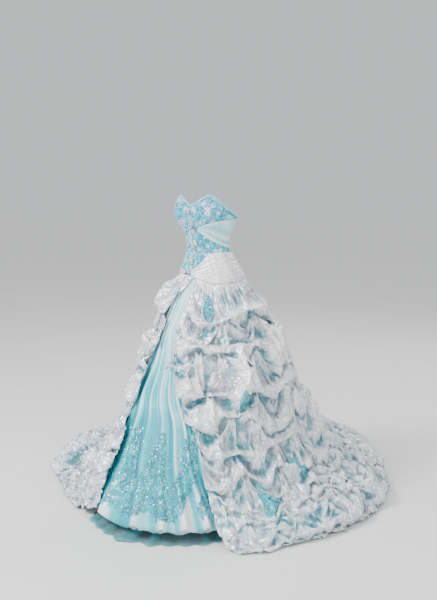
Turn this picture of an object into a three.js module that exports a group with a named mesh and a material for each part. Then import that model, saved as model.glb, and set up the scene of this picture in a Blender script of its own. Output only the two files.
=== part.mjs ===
// A strapless ball gown, standing as it is worn: a corset bodice, a wrapped hip sash, a pick-up overskirt
// that runs out into a train, a pleated front panel, a satin underskirt and a net petticoat.
// Millimetres and degrees. +Z is up, the front faces -Y and the wearer's left is +X. The origin is the
// middle of the waist. An azimuth is counted from the front towards the wearer's left.
import * as THREE from "three";

// ---- driving sizes ----
const FLOOR = -1120;
const SEAM_GAP = 0.3;
const CLOTH = 1.6; // satin and taffeta wall
const NET = 1.2; // tulle and lace wall
const SKIRT_START = CLOTH + SEAM_GAP; // the skirt walls lean, so they start this far below the hip seam

// Sections of the bodice: half width, half depth, and how far the middle lies to the back.
const bodySections = [
  { z: -200, halfX: 160, halfY: 132, back: 38 },
  { z: -150, halfX: 144, halfY: 117, back: 30 },
  { z: -126, halfX: 134, halfY: 109, back: 24 },
  { z: -100, halfX: 120, halfY: 99, back: 18 },
  { z: -67, halfX: 105, halfY: 86, back: 11 },
  { z: -45, halfX: 96, halfY: 79, back: 7 },
  { z: 0, halfX: 92, halfY: 74, back: 0 },
  { z: 36, halfX: 102, halfY: 82, back: 0 },
  { z: 75, halfX: 121, halfY: 96, back: 0 },
  { z: 130, halfX: 136, halfY: 107, back: 0 },
  { z: 200, halfX: 122, halfY: 100, back: 0 },
];
const cup = { azimuth: 36, z: 118, proud: 22, halfAngle: 21, halfHeight: 44 };

// Heights round the bodice: its top edge, the hip seam, and the top edge of the sash.
const edges = [
  { azimuth: -180, neck: 100, seam: -160, sash: -74 },
  { azimuth: -135, neck: 98, seam: -158, sash: -92 },
  { azimuth: -90, neck: 110, seam: -150, sash: -112 },
  { azimuth: -66, neck: 146, seam: -142, sash: -120 },
  { azimuth: -41, neck: 188, seam: -140, sash: -126 },
  { azimuth: -22, neck: 174, seam: -142, sash: -134 },
  { azimuth: 0, neck: 150, seam: -150, sash: -112 },
  { azimuth: 22, neck: 174, seam: -163, sash: -82 },
  { azimuth: 41, neck: 188, seam: -173, sash: -58 },
  { azimuth: 66, neck: 146, seam: -174, sash: -48 },
  { azimuth: 90, neck: 114, seam: -164, sash: -50 },
  { azimuth: 135, neck: 98, seam: -158, sash: -60 },
  { azimuth: 180, neck: 100, seam: -160, sash: -74 },
];

// How far the skirt's straight cone stands out from the hip, by the drop below the hip seam.
const skirtGrowth = [
  { drop: 0, front: 0, left: 0, back: 0, right: 0 },
  { drop: 45, front: 42, left: 34, back: 44, right: 47 },
  { drop: 120, front: 88, left: 62, back: 94, right: 88 },
  { drop: 200, front: 132, left: 92, back: 138, right: 104 },
  { drop: 300, front: 184, left: 130, back: 198, right: 144 },
  { drop: 450, front: 258, left: 180, back: 284, right: 182 },
  { drop: 640, front: 350, left: 220, back: 402, right: 236 },
  { drop: 970, front: 520, left: 350, back: 590, right: 330 },
];
const FRONT_WIDTH = { left: 2, right: 4 }; // powers of the cosine: the front narrows faster at the right
const TRAIN_DROP = 640; // below this the overskirt leaves the cone and runs out into the train
const TRAIN_CURVE = 2.2; // steepest bend of the train's profile
const TRAIN_SLOPE = 0.45; // run over fall where the train leaves the cone
// The crumpled flounce near the train's edge stands up off the floor, less at the front.
const flounce = { front: 15, train: 85, from: 45, to: 85, place: 2.2 };

// The overskirt's hem: how far out it lies, and how far it is off the floor.
const hemOutline = [
  { azimuth: -180, rim: 1130, rise: 0 },
  { azimuth: -150, rim: 1040, rise: 0 },
  { azimuth: -120, rim: 950, rise: 0 },
  { azimuth: -104, rim: 915, rise: 0 },
  { azimuth: -90, rim: 855, rise: 0 },
  { azimuth: -78, rim: 790, rise: 0 },
  { azimuth: -64, rim: 700, rise: 0 },
  { azimuth: -50, rim: 635, rise: 0 },
  { azimuth: -36, rim: 592, rise: 14 },
  { azimuth: -19, rim: 560, rise: 62 },
  { azimuth: 0, rim: 600, rise: 62 },
  { azimuth: 30, rim: 640, rise: 0 },
  { azimuth: 65, rim: 650, rise: 0 },
  { azimuth: 79, rim: 665, rise: 0 },
  { azimuth: 93, rim: 705, rise: 0 },
  { azimuth: 110, rim: 755, rise: 0 },
  { azimuth: 130, rim: 826, rise: 0 },
  { azimuth: 146, rim: 890, rise: 0 },
  { azimuth: 163, rim: 1010, rise: 0 },
  { azimuth: 180, rim: 1130, rise: 0 },
];

// The two front edges of the overskirt, by height.
const opening = [
  { z: -150, right: -5, left: 3 },
  { z: -190, right: -9, left: 4 },
  { z: -240, right: -20, left: 5 },
  { z: -340, right: -20, left: 1 },
  { z: -415, right: -19, left: -2 },
  { z: -450, right: -20, left: 4 },
  { z: -560, right: -21, left: 17 },
  { z: -690, right: -25, left: 25 },
  { z: -780, right: -20, left: 31 },
  { z: -920, right: -20, left: 37 },
  { z: -1040, right: -19, left: 44 },
  { z: -1120, right: -19, left: 50 },
];

// Each tier of pick-ups: how many puffs a full turn would hold, and how far they stand out.
const tiers = [
  { puffs: 22, depth: 10 },
  { puffs: 12, depth: 26 },
  { puffs: 13, depth: 30 },
  { puffs: 14, depth: 28 },
  { puffs: 15, depth: 30 },
  { puffs: 17, depth: 34 },
  { puffs: 20, depth: 38 },
  { puffs: 23, depth: 36 },
  { puffs: 26, depth: 24 },
];
const ROWS_PER_TIER = 2;
const CONE_TIERS = 5;

// How far each layer lies inside the overskirt's cone, at the hip seam and at the hem.
const layers = {
  overskirt: { top: 0, hem: -8 },
  frontPanel: { top: 5, hem: 14 },
  underskirt: { top: 9, hem: 34 },
  petticoat: { top: 13, hem: 50 },
};
const LAYER_DROP = 150; // the drop over which the layers part
const pleats = { count: 8, depth: 7, hemZ: -1076 };
const satinHemZ = -1088;
const netFlare = { startZ: -1092, width: 66, from: -36, to: 47, soft: 12 };

// ---- tables and surfaces ----
const rad = THREE.MathUtils.degToRad;
const lerp = THREE.MathUtils.lerp;

// A smooth curve through one column of a table, whose key column rises.
function along(rows, key, column, at) {
  const last = rows.length - 1;
  const x = THREE.MathUtils.clamp(at, rows[0][key], rows[last][key]);
  let i = 0;
  while (i < last - 1 && x > rows[i + 1][key]) i += 1;
  const slope = (j) => {
    const a = rows[Math.max(j - 1, 0)];
    const b = rows[Math.min(j + 1, last)];
    return (b[column] - a[column]) / (b[key] - a[key]);
  };
  const span = rows[i + 1][key] - rows[i][key];
  const t = (x - rows[i][key]) / span;
  const t2 = t * t;
  const t3 = t2 * t;
  return (
    (2 * t3 - 3 * t2 + 1) * rows[i][column] +
    (t3 - 2 * t2 + t) * span * slope(i) +
    (3 * t2 - 2 * t3) * rows[i + 1][column] +
    (t3 - t2) * span * slope(i + 1)
  );
}

const wrapped = (azimuth) => THREE.MathUtils.euclideanModulo(azimuth + 180, 360) - 180;
const edgeAt = (azimuth, column) => along(edges, "azimuth", column, wrapped(azimuth));
const openingAt = (z, side) => along([...opening].reverse(), "z", side, z);

function polar(azimuth, radius, z) {
  const a = rad(azimuth);
  return new THREE.Vector3(radius * Math.sin(a), -radius * Math.cos(a), z);
}

// Distance from the axis to the bodice: an offset ellipse, with a soft bulge for each cup.
function bodyRadius(azimuth, z) {
  const a = rad(azimuth);
  const halfX = along(bodySections, "z", "halfX", z);
  const halfY = along(bodySections, "z", "halfY", z);
  const back = along(bodySections, "z", "back", z);
  const p = (Math.sin(a) / halfX) ** 2 + (Math.cos(a) / halfY) ** 2;
  const q = (-Math.cos(a) * back) / halfY ** 2;
  const s = (back / halfY) ** 2 - 1;
  const ellipse = (q + Math.sqrt(q * q - p * s)) / p;
  const height = ((z - cup.z) / cup.halfHeight) ** 2;
  const bulge = (middle) => {
    const turn = (wrapped(azimuth) - middle) / cup.halfAngle;
    return cup.proud * Math.exp(-(turn * turn + height) / 2);
  };
  return ellipse + bulge(cup.azimuth) + bulge(-cup.azimuth);
}

function coneRadius(azimuth, drop) {
  const a = rad(azimuth);
  const toFront = along(skirtGrowth, "drop", Math.cos(a) > 0 ? "front" : "back", drop);
  const toSide = along(skirtGrowth, "drop", Math.sin(a) > 0 ? "left" : "right", drop);
  const power = Math.sin(a) < 0 && Math.cos(a) > 0 ? FRONT_WIDTH.right : FRONT_WIDTH.left;
  const growth = lerp(toSide, toFront, Math.abs(Math.cos(a)) ** power);
  return bodyRadius(azimuth, edgeAt(azimuth, "seam")) + growth;
}

function layerRadius(layer, azimuth, drop) {
  const t = THREE.MathUtils.smoothstep(drop, 0, LAYER_DROP);
  return coneRadius(azimuth, drop) - lerp(layer.top, layer.hem, t);
}

// A point on a skirt layer that is a plain cone: v is 0 at the hem and 1 at the hip seam.
function conePoint(layer, azimuth, v, hemZ) {
  const seam = edgeAt(azimuth, "seam") - SKIRT_START;
  const z = lerp(hemZ, seam, v ** 0.8);
  return polar(azimuth, layerRadius(layer, azimuth, seam - z), z);
}

// A point on the overskirt before its puffs: a cone that bends out into the train.
function overskirtBase(azimuth, v) {
  const down = (1 - v) * tiers.length;
  const seam = edgeAt(azimuth, "seam") - SKIRT_START;
  const breakRadius = layerRadius(layers.overskirt, azimuth, TRAIN_DROP);
  if (down <= CONE_TIERS) {
    const drop = (TRAIN_DROP * down) / CONE_TIERS;
    return polar(azimuth, layerRadius(layers.overskirt, azimuth, drop), seam - drop);
  }
  const out = (down - CONE_TIERS) / (tiers.length - CONE_TIERS);
  const rim = along(hemOutline, "azimuth", "rim", wrapped(azimuth));
  const hemZ = FLOOR + Math.max(0, along(hemOutline, "azimuth", "rise", wrapped(azimuth)));
  const fall = seam - TRAIN_DROP - hemZ;
  const bend = THREE.MathUtils.clamp((rim - breakRadius) / (TRAIN_SLOPE * fall), 1, TRAIN_CURVE);
  const trainShare = THREE.MathUtils.smoothstep(Math.abs(wrapped(azimuth)), flounce.from, flounce.to);
  const height = lerp(flounce.front, flounce.train, trainShare);
  const stand = height * Math.sin(Math.PI * Math.min(out ** flounce.place, 1)) ** 0.8;
  return polar(azimuth, lerp(breakRadius, rim, out), hemZ + fall * (1 - out) ** bend + stand);
}

function puffHeight(azimuth, v) {
  const down = THREE.MathUtils.clamp((1 - v) * tiers.length, 0, tiers.length - 1e-6);
  const index = Math.floor(down);
  const tier = tiers[index];
  const swag = Math.abs(Math.sin(rad(azimuth) * tier.puffs * 0.5 + index * 0.5 * Math.PI));
  return tier.depth * Math.sin(Math.PI * (down - index)) ** 0.8 * (0.35 + 0.65 * swag);
}

// ---- cloth walls ----
// The way out of a surface(u, v), square to its run from hem to top (v) and in the plane through the axis,
// so that two panels that meet at a seam stay side by side.
function outward(surface, u, v) {
  const step = 1e-3;
  const p = surface(u, v);
  const rise = surface(u, Math.min(v + step, 1)).sub(surface(u, Math.max(v - step, 0)));
  const turn = new THREE.Vector3(-p.y, p.x, 0).normalize();
  rise.addScaledVector(turn, -rise.dot(turn));
  return turn.cross(rise).normalize();
}

const flat = () => 0;

// A closed wall outside surface(u, v), where u runs towards the wearer's left and v runs up. It stands off
// by lift, plus relief(u, v) for tucks and puffs. A cell is cut along the same diagonal on both faces, so
// the two faces never cross.
function clothWall({ surface, relief = flat, columns, rows, thickness, lift = 0, range = [0, 1, 0, 1] }) {
  const [u0, u1, v0, v1] = range;
  const across = columns + 1;
  const layer = across * (rows + 1);
  const points = [];
  for (const height of [lift, lift + thickness]) {
    for (let j = 0; j <= rows; j += 1) {
      for (let i = 0; i <= columns; i += 1) {
        const u = lerp(u0, u1, i / columns);
        const v = lerp(v0, v1, j / rows);
        const p = surface(u, v).addScaledVector(outward(surface, u, v), height + relief(u, v));
        points.push(p.x, p.y, p.z);
      }
    }
  }
  const faces = [];
  const quad = (a, b, c, d) => faces.push(a, b, c, a, c, d);
  for (let j = 0; j < rows; j += 1) {
    for (let i = 0; i < columns; i += 1) {
      const a = j * across + i;
      const [b, c, d] = [a + 1, a + across + 1, a + across];
      quad(layer + a, layer + b, layer + c, layer + d);
      faces.push(a, c, b, a, d, c);
    }
  }
  const rim = [];
  for (let i = 0; i < columns; i += 1) rim.push(i);
  for (let j = 0; j < rows; j += 1) rim.push(j * across + columns);
  for (let i = columns; i > 0; i -= 1) rim.push(rows * across + i);
  for (let j = rows; j > 0; j -= 1) rim.push(j * across);
  rim.forEach((a, k) => {
    const b = rim[(k + 1) % rim.length];
    quad(a, b, layer + b, layer + a);
  });
  const geometry = new THREE.BufferGeometry();
  geometry.setAttribute("position", new THREE.Float32BufferAttribute(points, 3));
  geometry.setIndex(faces);
  geometry.computeVertexNormals();
  return geometry;
}

// Azimuth across a panel, held back from each side seam by half the gap.
function acrossPanel(from, to, u, radius) {
  const gap = THREE.MathUtils.radToDeg(SEAM_GAP / 2 / radius);
  return lerp(from + gap, to - gap, u);
}

// ---- materials ----
const finish = (color, roughness, metalness = 0) =>
  new THREE.MeshStandardMaterial({ color, roughness, metalness, side: THREE.DoubleSide });
const finishes = {
  aquaSatin: finish(0x43bccb, 0.38),
  paleSatin: finish(0xc2eaea, 0.4),
  lace: finish(0x7fd3dd, 0.5),
  whiteTaffeta: finish(0xe9ecef, 0.34),
  aquaNet: finish(0x6fc7cf, 0.55),
  darkNet: finish(0x1f6a72, 0.6),
  turquoiseLace: finish(0x23a7b2, 0.45),
  amberStone: finish(0xd9a75c, 0.15, 0.2),
  zipMetal: finish(0xb9bec4, 0.3, 0.9),
};

const gown = new THREE.Group();
function add(name, geometry, material) {
  const mesh = new THREE.Mesh(geometry, material);
  mesh.name = name;
  gown.add(mesh);
  return mesh;
}

// ---- bodice ----
const BODICE_STEP = 10; // degrees for each facet
const BODICE_ROWS = 7;
const ZIP_HALF = 1.6; // degrees from the centre back to the edge of the zip opening

function bodicePoint(azimuth, v) {
  const z = lerp(edgeAt(azimuth, "seam") + SEAM_GAP, edgeAt(azimuth, "neck"), v);
  return polar(azimuth, bodyRadius(azimuth, z), z);
}

const bodicePanels = [
  { name: "bodice_back_right", from: -180 + ZIP_HALF, to: -140 },
  { name: "bodice_side_back_right", from: -140, to: -90 },
  { name: "bodice_side_front_right", from: -90, to: -40 },
  { name: "bodice_centre_front", from: -40, to: 40 },
  { name: "bodice_side_front_left", from: 40, to: 90 },
  { name: "bodice_side_back_left", from: 90, to: 140 },
  { name: "bodice_back_left", from: 140, to: 180 - ZIP_HALF },
];
const BODICE_RADIUS = 115;

function buildBodice() {
  for (const panel of bodicePanels) {
    const surface = (u, v) => bodicePoint(acrossPanel(panel.from, panel.to, u, BODICE_RADIUS), v);
    const columns = Math.round((panel.to - panel.from) / BODICE_STEP);
    const wall = clothWall({ surface, columns, rows: BODICE_ROWS, thickness: CLOTH });
    add(panel.name, wall, finishes.aquaSatin);
  }
}

// The lace lies on the satin from one side seam round the front to the other.
const LACE_HALF = 90;
const LACE_LIFT = CLOTH + 0.6;
const OVER_LACE = LACE_LIFT + NET + 3.6; // clear of the lace where it is pulled straight between facets

function buildBodiceTrim() {
  const lace = (u, v) => bodicePoint(lerp(-LACE_HALF, LACE_HALF, u), v);
  const laceColumns = (2 * LACE_HALF) / BODICE_STEP;
  const laceWall = { surface: lace, columns: laceColumns, rows: BODICE_ROWS, thickness: NET, lift: LACE_LIFT };
  add("bodice_lace_front", clothWall(laceWall), finishes.lace);

  const bindingDepth = 7;
  const binding = (u, v) => {
    const azimuth = lerp(-180 + ZIP_HALF, 180 - ZIP_HALF, u);
    const z = edgeAt(azimuth, "neck") - bindingDepth * (1 - v);
    return polar(azimuth, bodyRadius(azimuth, z), z);
  };
  const bindingWall = { surface: binding, columns: 36, rows: 1, thickness: CLOTH, lift: LACE_LIFT + NET + 0.8 };
  add("neckline_binding", clothWall(bindingWall), finishes.paleSatin);

  // A satin drape pulled from the centre front round to the wearer's left side seam.
  const drapeEdges = [
    { azimuth: 10, top: 58, bottom: 42 },
    { azimuth: 30, top: 72, bottom: 20 },
    { azimuth: 60, top: 88, bottom: -8 },
    { azimuth: 85, top: 94, bottom: -26 },
    { azimuth: 110, top: 95, bottom: -38 },
  ];
  const drape = (u, v) => {
    const azimuth = lerp(drapeEdges[0].azimuth, drapeEdges[4].azimuth, u);
    const top = along(drapeEdges, "azimuth", "top", azimuth);
    const bottom = along(drapeEdges, "azimuth", "bottom", azimuth);
    const z = lerp(bottom, top, v);
    return polar(azimuth, bodyRadius(azimuth, z), z);
  };
  const relief = (u, v) => 1.6 * Math.abs(Math.sin(2 * Math.PI * v)) * Math.min(1, u * 4);
  const drapeWall = { surface: drape, relief, columns: 10, rows: 4, thickness: CLOTH, lift: OVER_LACE };
  add("bodice_drape", clothWall(drapeWall), finishes.paleSatin);
}

// The sash is wrapped in flat tucks, high at the wearer's left and low at the right.
const TUCKS = 2;
const sashPieces = [
  { name: "hip_sash_right", from: -180 + ZIP_HALF, to: -40, columns: 12 },
  { name: "hip_sash_left", from: -14, to: 180 - ZIP_HALF, columns: 17 },
];

function buildSash() {
  for (const piece of sashPieces) {
    const surface = (u, v) => {
      const azimuth = lerp(piece.from, piece.to, u);
      const z = lerp(edgeAt(azimuth, "seam") + 1, edgeAt(azimuth, "sash"), v);
      return polar(azimuth, bodyRadius(azimuth, z), z);
    };
    const relief = (u, v) => 2.4 * Math.abs(Math.sin(TUCKS * Math.PI * v));
    const size = { columns: piece.columns, rows: TUCKS * 2, thickness: CLOTH, lift: OVER_LACE };
    add(piece.name, clothWall({ surface, relief, ...size }), finishes.whiteTaffeta);
  }
}

// ---- stones down the front ----
const stones = [
  { azimuth: -6, z: 126, width: 11, height: 17 },
  { azimuth: -4, z: 75, width: 13, height: 15 },
  { azimuth: -6, z: 37, width: 11, height: 19 },
  { azimuth: -10, z: -16, width: 29, height: 13 },
  { azimuth: -18, z: -88, width: 14, height: 16 },
];
const STONE_DEPTH = 4.5;
const STONE_LIFT = OVER_LACE;

function buildStones() {
  // Profile of a cut stone on its axis: flat back, girdle, crown and table, for a width of 2.
  const profile = [
    [0, 0],
    [0.86, 0],
    [1, 0.3],
    [0.55, 1],
    [0, 1],
  ].map(([x, y]) => new THREE.Vector2(x, y));
  stones.forEach((stone, index) => {
    const cut = new THREE.LatheGeometry(profile, 10);
    cut.scale(stone.width / 2, STONE_DEPTH, stone.height / 2);
    cut.rotateX(Math.PI);
    const mesh = add(`front_jewel_${index + 1}`, cut, finishes.amberStone);
    const radius = bodyRadius(stone.azimuth, stone.z) + STONE_LIFT;
    mesh.position.copy(polar(stone.azimuth, radius, stone.z));
    const rise = bodyRadius(stone.azimuth, stone.z + 5) - bodyRadius(stone.azimuth, stone.z - 5);
    const lean = Math.atan2(rise, 10);
    mesh.rotation.set(lean, 0, rad(stone.azimuth), "ZXY");
  });
}

// ---- zip at the centre back ----
const zip = { sliderZ: 76, plate: 2.2, ring: 2.9, ringHole: 1.5, tabLength: 24, tabThick: 1.2 };

function buildZip() {
  const chainHalf = ZIP_HALF - 0.4;
  const chain = (u, v) => bodicePoint(lerp(180 - chainHalf, 180 + chainHalf, u), v);
  const chainWall = { surface: chain, columns: 1, rows: BODICE_ROWS, thickness: CLOTH };
  add("zip_chain", clothWall(chainWall), finishes.zipMetal);

  const foot = bodyRadius(180, zip.sliderZ);
  const rise = bodyRadius(180, zip.sliderZ + 5) - bodyRadius(180, zip.sliderZ - 5);
  const lean = Math.atan2(rise, 10);
  const away = new THREE.Vector3(0, Math.cos(lean), -Math.sin(lean));
  const surfacePoint = new THREE.Vector3(0, foot, zip.sliderZ);
  const plateMiddle = CLOTH + 0.5 + zip.plate / 2;
  const ringMiddle = CLOTH + 0.5 + zip.plate + SEAM_GAP + zip.ring;

  const plate = add("zip_slider", new THREE.BoxGeometry(8, zip.plate, 11), finishes.zipMetal);
  plate.position.copy(surfacePoint).addScaledVector(away, plateMiddle);
  plate.rotation.x = -lean;

  const ringWidth = 3;
  const ringShape = new THREE.Shape().absarc(0, 0, zip.ring, 0, 2 * Math.PI, false);
  ringShape.holes.push(new THREE.Path().absarc(0, 0, zip.ringHole, 0, 2 * Math.PI, true));
  const ringSettings = { depth: ringWidth, bevelEnabled: false, curveSegments: 8 };
  const ring = new THREE.ExtrudeGeometry(ringShape, ringSettings);
  ring.translate(0, 0, -ringWidth / 2);
  ring.rotateY(Math.PI / 2);
  const axis = surfacePoint.clone().addScaledVector(away, ringMiddle);
  add("zip_bridge", ring, finishes.zipMetal).position.copy(axis);

  // The tab hangs from a bar through the ring: a plate with a window, 4.2 wide, round the ring.
  const tabHalf = 3.4;
  const barHalf = 0.7;
  const outline = new THREE.Shape();
  outline.moveTo(-tabHalf, barHalf);
  outline.lineTo(-tabHalf, -zip.tabLength + tabHalf);
  outline.absarc(0, -zip.tabLength + tabHalf, tabHalf, Math.PI, 2 * Math.PI, false);
  outline.lineTo(tabHalf, barHalf);
  const window = new THREE.Path();
  window.moveTo(-2.1, -barHalf);
  window.lineTo(2.1, -barHalf);
  window.lineTo(2.1, -4.2);
  window.lineTo(-2.1, -4.2);
  outline.holes.push(window);
  const tabSettings = { depth: zip.tabThick, bevelEnabled: false, curveSegments: 6 };
  const tab = new THREE.ExtrudeGeometry(outline, tabSettings);
  tab.translate(0, 0, -zip.tabThick / 2);
  tab.rotateX(Math.PI / 2);
  add("zip_pull_tab", tab, finishes.zipMetal).position.copy(axis);
}

// ---- skirts ----
const gores = [
  { name: "back_right", from: -180, to: -90 },
  { name: "front_right", from: -90, to: 0 },
  { name: "front_left", from: 0, to: 90 },
  { name: "back_left", from: 90, to: 180 },
];
const GORE_COLUMNS = 8;

function buildUnderskirt() {
  for (const gore of gores) {
    const surface = (u, v) => {
      const azimuth = acrossPanel(gore.from, gore.to, u, 250);
      return conePoint(layers.underskirt, azimuth, v, satinHemZ);
    };
    const wall = clothWall({ surface, columns: GORE_COLUMNS, rows: 5, thickness: CLOTH });
    add(`underskirt_${gore.name}`, wall, finishes.aquaSatin);
  }
}

// The net goes straight down, and at the front its edge spreads over the floor.
function petticoatPoint(azimuth, v) {
  const flareShare = 1 / 6;
  if (v >= flareShare) {
    return conePoint(layers.petticoat, azimuth, (v - flareShare) / (1 - flareShare), netFlare.startZ);
  }
  const out = 1 - v / flareShare;
  const from = conePoint(layers.petticoat, azimuth, 0, netFlare.startZ);
  const rise = THREE.MathUtils.smoothstep(azimuth, netFlare.from, netFlare.from + netFlare.soft);
  const fall = 1 - THREE.MathUtils.smoothstep(azimuth, netFlare.to - netFlare.soft, netFlare.to);
  const spread = lerp(8, netFlare.width, rise * fall);
  const radius = Math.hypot(from.x, from.y) + spread * out ** 1.3;
  return polar(azimuth, radius, lerp(netFlare.startZ, FLOOR, out));
}

function buildPetticoat() {
  for (const gore of gores) {
    const surface = (u, v) => petticoatPoint(acrossPanel(gore.from, gore.to, u, 250), v);
    const wall = clothWall({ surface, columns: GORE_COLUMNS, rows: 6, thickness: NET });
    add(`petticoat_${gore.name}`, wall, finishes.darkNet);
  }
}

// The pleated panel shows between the overskirt's two edges, and runs a little under each.
function frontPanelPoint(u, v) {
  const under = 6;
  const height = lerp(pleats.hemZ, -150, v);
  const azimuth = lerp(openingAt(height, "right") - under, openingAt(height, "left") + under, u);
  return conePoint(layers.frontPanel, azimuth, v, pleats.hemZ);
}

function buildFrontPanel() {
  const relief = (u, v) =>
    pleats.depth * Math.min(1, 1.6 * (1 - v)) * Math.cos(2 * Math.PI * pleats.count * u);
  const size = { columns: pleats.count * 4, rows: 6, thickness: NET };
  add("front_panel", clothWall({ surface: frontPanelPoint, relief, ...size }), finishes.aquaNet);
}

const SIDE_SEAM = 78; // the front widths of the overskirt end at these two seams
const overskirtPanels = [
  { name: "right_front", from: () => -SIDE_SEAM, to: (z) => openingAt(z, "right"), columns: 8 },
  { name: "left_front", from: (z) => openingAt(z, "left"), to: () => SIDE_SEAM, columns: 11 },
  { name: "left_side", from: () => SIDE_SEAM, to: () => 126, columns: 7 },
  { name: "back_left", from: () => 126, to: () => 180, columns: 7 },
  { name: "back_right", from: () => 180, to: () => 234, columns: 7 },
  { name: "right_side", from: () => 234, to: () => 360 - SIDE_SEAM, columns: 7 },
];

function overskirtSurface(panel) {
  const azimuthAt = (u, v) => {
    const height = overskirtBase(0, v).z;
    return acrossPanel(panel.from(height), panel.to(height), u, 300);
  };
  return {
    surface: (u, v) => overskirtBase(azimuthAt(u, v), v),
    relief: (u, v) => puffHeight(azimuthAt(u, v), v),
  };
}

function buildOverskirt() {
  const rows = tiers.length * ROWS_PER_TIER;
  for (const panel of overskirtPanels) {
    const wall = { ...overskirtSurface(panel), columns: panel.columns, rows, thickness: CLOTH };
    add(`overskirt_${panel.name}`, clothWall(wall), finishes.whiteTaffeta);
  }
}

// Beaded lace sewn at four pick-ups of the left front, each on whole facets of the overskirt.
const pickups = [
  { panel: 1, column: 4, row: 15, columns: 2, rows: 1 },
  { panel: 1, column: 7, row: 9, columns: 1, rows: 2 },
  { panel: 1, column: 6, row: 2, columns: 1, rows: 2 },
  { panel: 2, column: 1, row: 4, columns: 1, rows: 1 },
];

function buildPickups() {
  const rows = tiers.length * ROWS_PER_TIER;
  pickups.forEach((pickup, index) => {
    const panel = overskirtPanels[pickup.panel];
    const u0 = pickup.column / panel.columns;
    const v0 = pickup.row / rows;
    const range = [u0, u0 + pickup.columns / panel.columns, v0, v0 + pickup.rows / rows];
    const size = { columns: pickup.columns, rows: pickup.rows, thickness: NET, lift: CLOTH + 0.8 };
    const wall = clothWall({ ...overskirtSurface(panel), range, ...size });
    add(`pickup_lace_${index + 1}`, wall, finishes.turquoiseLace);
  });
}

buildBodice();
buildBodiceTrim();
buildSash();
buildStones();
buildZip();
buildUnderskirt();
buildPetticoat();
buildFrontPanel();
buildOverskirt();
buildPickups();

export default gown;
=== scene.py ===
# A strapless ball gown as it is worn, hollow: beaded corset bodice, tucked sash, pick-up overskirt with a
# train, pleated net front, satin underskirt and net petticoat. Metres; the front faces -Y, the wearer's
# left is +X and the origin is the middle of the waist. An azimuth counts from the front to the left.
import math

import bpy
import numpy as np
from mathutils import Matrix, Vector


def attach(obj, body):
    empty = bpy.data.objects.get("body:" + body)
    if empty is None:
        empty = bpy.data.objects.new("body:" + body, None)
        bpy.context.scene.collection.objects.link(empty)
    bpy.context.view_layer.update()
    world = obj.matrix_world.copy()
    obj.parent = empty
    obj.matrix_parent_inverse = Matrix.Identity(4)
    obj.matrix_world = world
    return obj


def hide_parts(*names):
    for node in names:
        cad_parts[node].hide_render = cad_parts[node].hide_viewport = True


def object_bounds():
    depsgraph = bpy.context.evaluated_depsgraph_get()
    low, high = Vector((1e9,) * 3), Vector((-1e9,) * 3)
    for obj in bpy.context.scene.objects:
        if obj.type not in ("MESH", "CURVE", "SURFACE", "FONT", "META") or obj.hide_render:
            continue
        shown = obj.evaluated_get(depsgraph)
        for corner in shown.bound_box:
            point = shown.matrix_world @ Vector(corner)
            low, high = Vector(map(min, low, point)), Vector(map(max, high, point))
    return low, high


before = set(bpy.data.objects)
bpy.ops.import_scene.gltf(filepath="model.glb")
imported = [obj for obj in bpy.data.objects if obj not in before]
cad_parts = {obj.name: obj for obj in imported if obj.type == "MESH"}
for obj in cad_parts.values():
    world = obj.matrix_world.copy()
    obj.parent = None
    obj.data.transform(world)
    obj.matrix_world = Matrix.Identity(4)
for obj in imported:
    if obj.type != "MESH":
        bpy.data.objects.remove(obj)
cadLow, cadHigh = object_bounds()
floorHeight = cadLow[2]
print("frame loaded:", len(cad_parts), "nodes")

# camera, floor and light
cameraView = {"place": (1.8354, -2.6213, 0.180), "heading": 34.17, "tilt": 7.84, "lens": 44.58, "sensor": 36}
floorPlane = {"reach": 40.0, "color": (0.80, 0.80, 0.79)}
studio = {"color": (0.86, 0.88, 0.90, 1), "strength": 0.80, "target": (0, 0, -0.55)}
lights = [  # spread is a lamp's width in metres, or the sun's angle in degrees
    {"name": "key", "kind": "AREA", "place": (-1.5, -3.0, 2.6), "spread": 1.3, "power": 265},
    {"name": "fill", "kind": "AREA", "place": (3.4, -1.6, 1.5), "spread": 2.8, "power": 62},
    {"name": "front", "kind": "AREA", "place": (1.2, -3.9, 0.4), "spread": 1.8, "power": 40},
    {"name": "back", "kind": "AREA", "place": (0.4, 3.2, 2.4), "spread": 2.6, "power": 80},
    {"name": "sky", "kind": "SUN", "place": (-2.0, -2.6, 4.0), "spread": 50, "power": 0.7},
]


def aim(thing, place, target):
    # turns a lamp so that it looks from place to target
    thing.location = place
    offset = [target[k] - place[k] for k in range(3)]
    yaw = math.atan2(-offset[0], offset[1])
    pitch = math.atan2(offset[2], math.hypot(offset[0], offset[1]))
    thing.rotation_euler = (math.pi / 2 + pitch, 0, yaw)


def placeCamera():
    lens = bpy.data.cameras.new("camera")
    lens.lens = cameraView["lens"]
    lens.sensor_width = cameraView["sensor"]
    camera = bpy.data.objects.new("camera", lens)
    camera.location = cameraView["place"]
    tilt = math.radians(90 - cameraView["tilt"])
    camera.rotation_euler = (tilt, 0, math.radians(cameraView["heading"]))
    bpy.context.scene.collection.objects.link(camera)
    bpy.context.scene.camera = camera


def placeLights():
    for lamp in lights:
        data = bpy.data.lights.new(lamp["name"], lamp["kind"])
        data.energy = lamp["power"]
        if lamp["kind"] == "SUN":
            data.angle = math.radians(lamp["spread"])
        else:
            data.size = lamp["spread"]
        item = bpy.data.objects.new(lamp["name"], data)
        aim(item, lamp["place"], studio["target"])
        bpy.context.scene.collection.objects.link(item)
    world = bpy.data.worlds.new("studio")
    world.use_nodes = True
    background = world.node_tree.nodes["Background"]
    background.inputs["Color"].default_value = studio["color"]
    background.inputs["Strength"].default_value = studio["strength"]
    bpy.context.scene.world = world
    print("camera and lights done")


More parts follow.
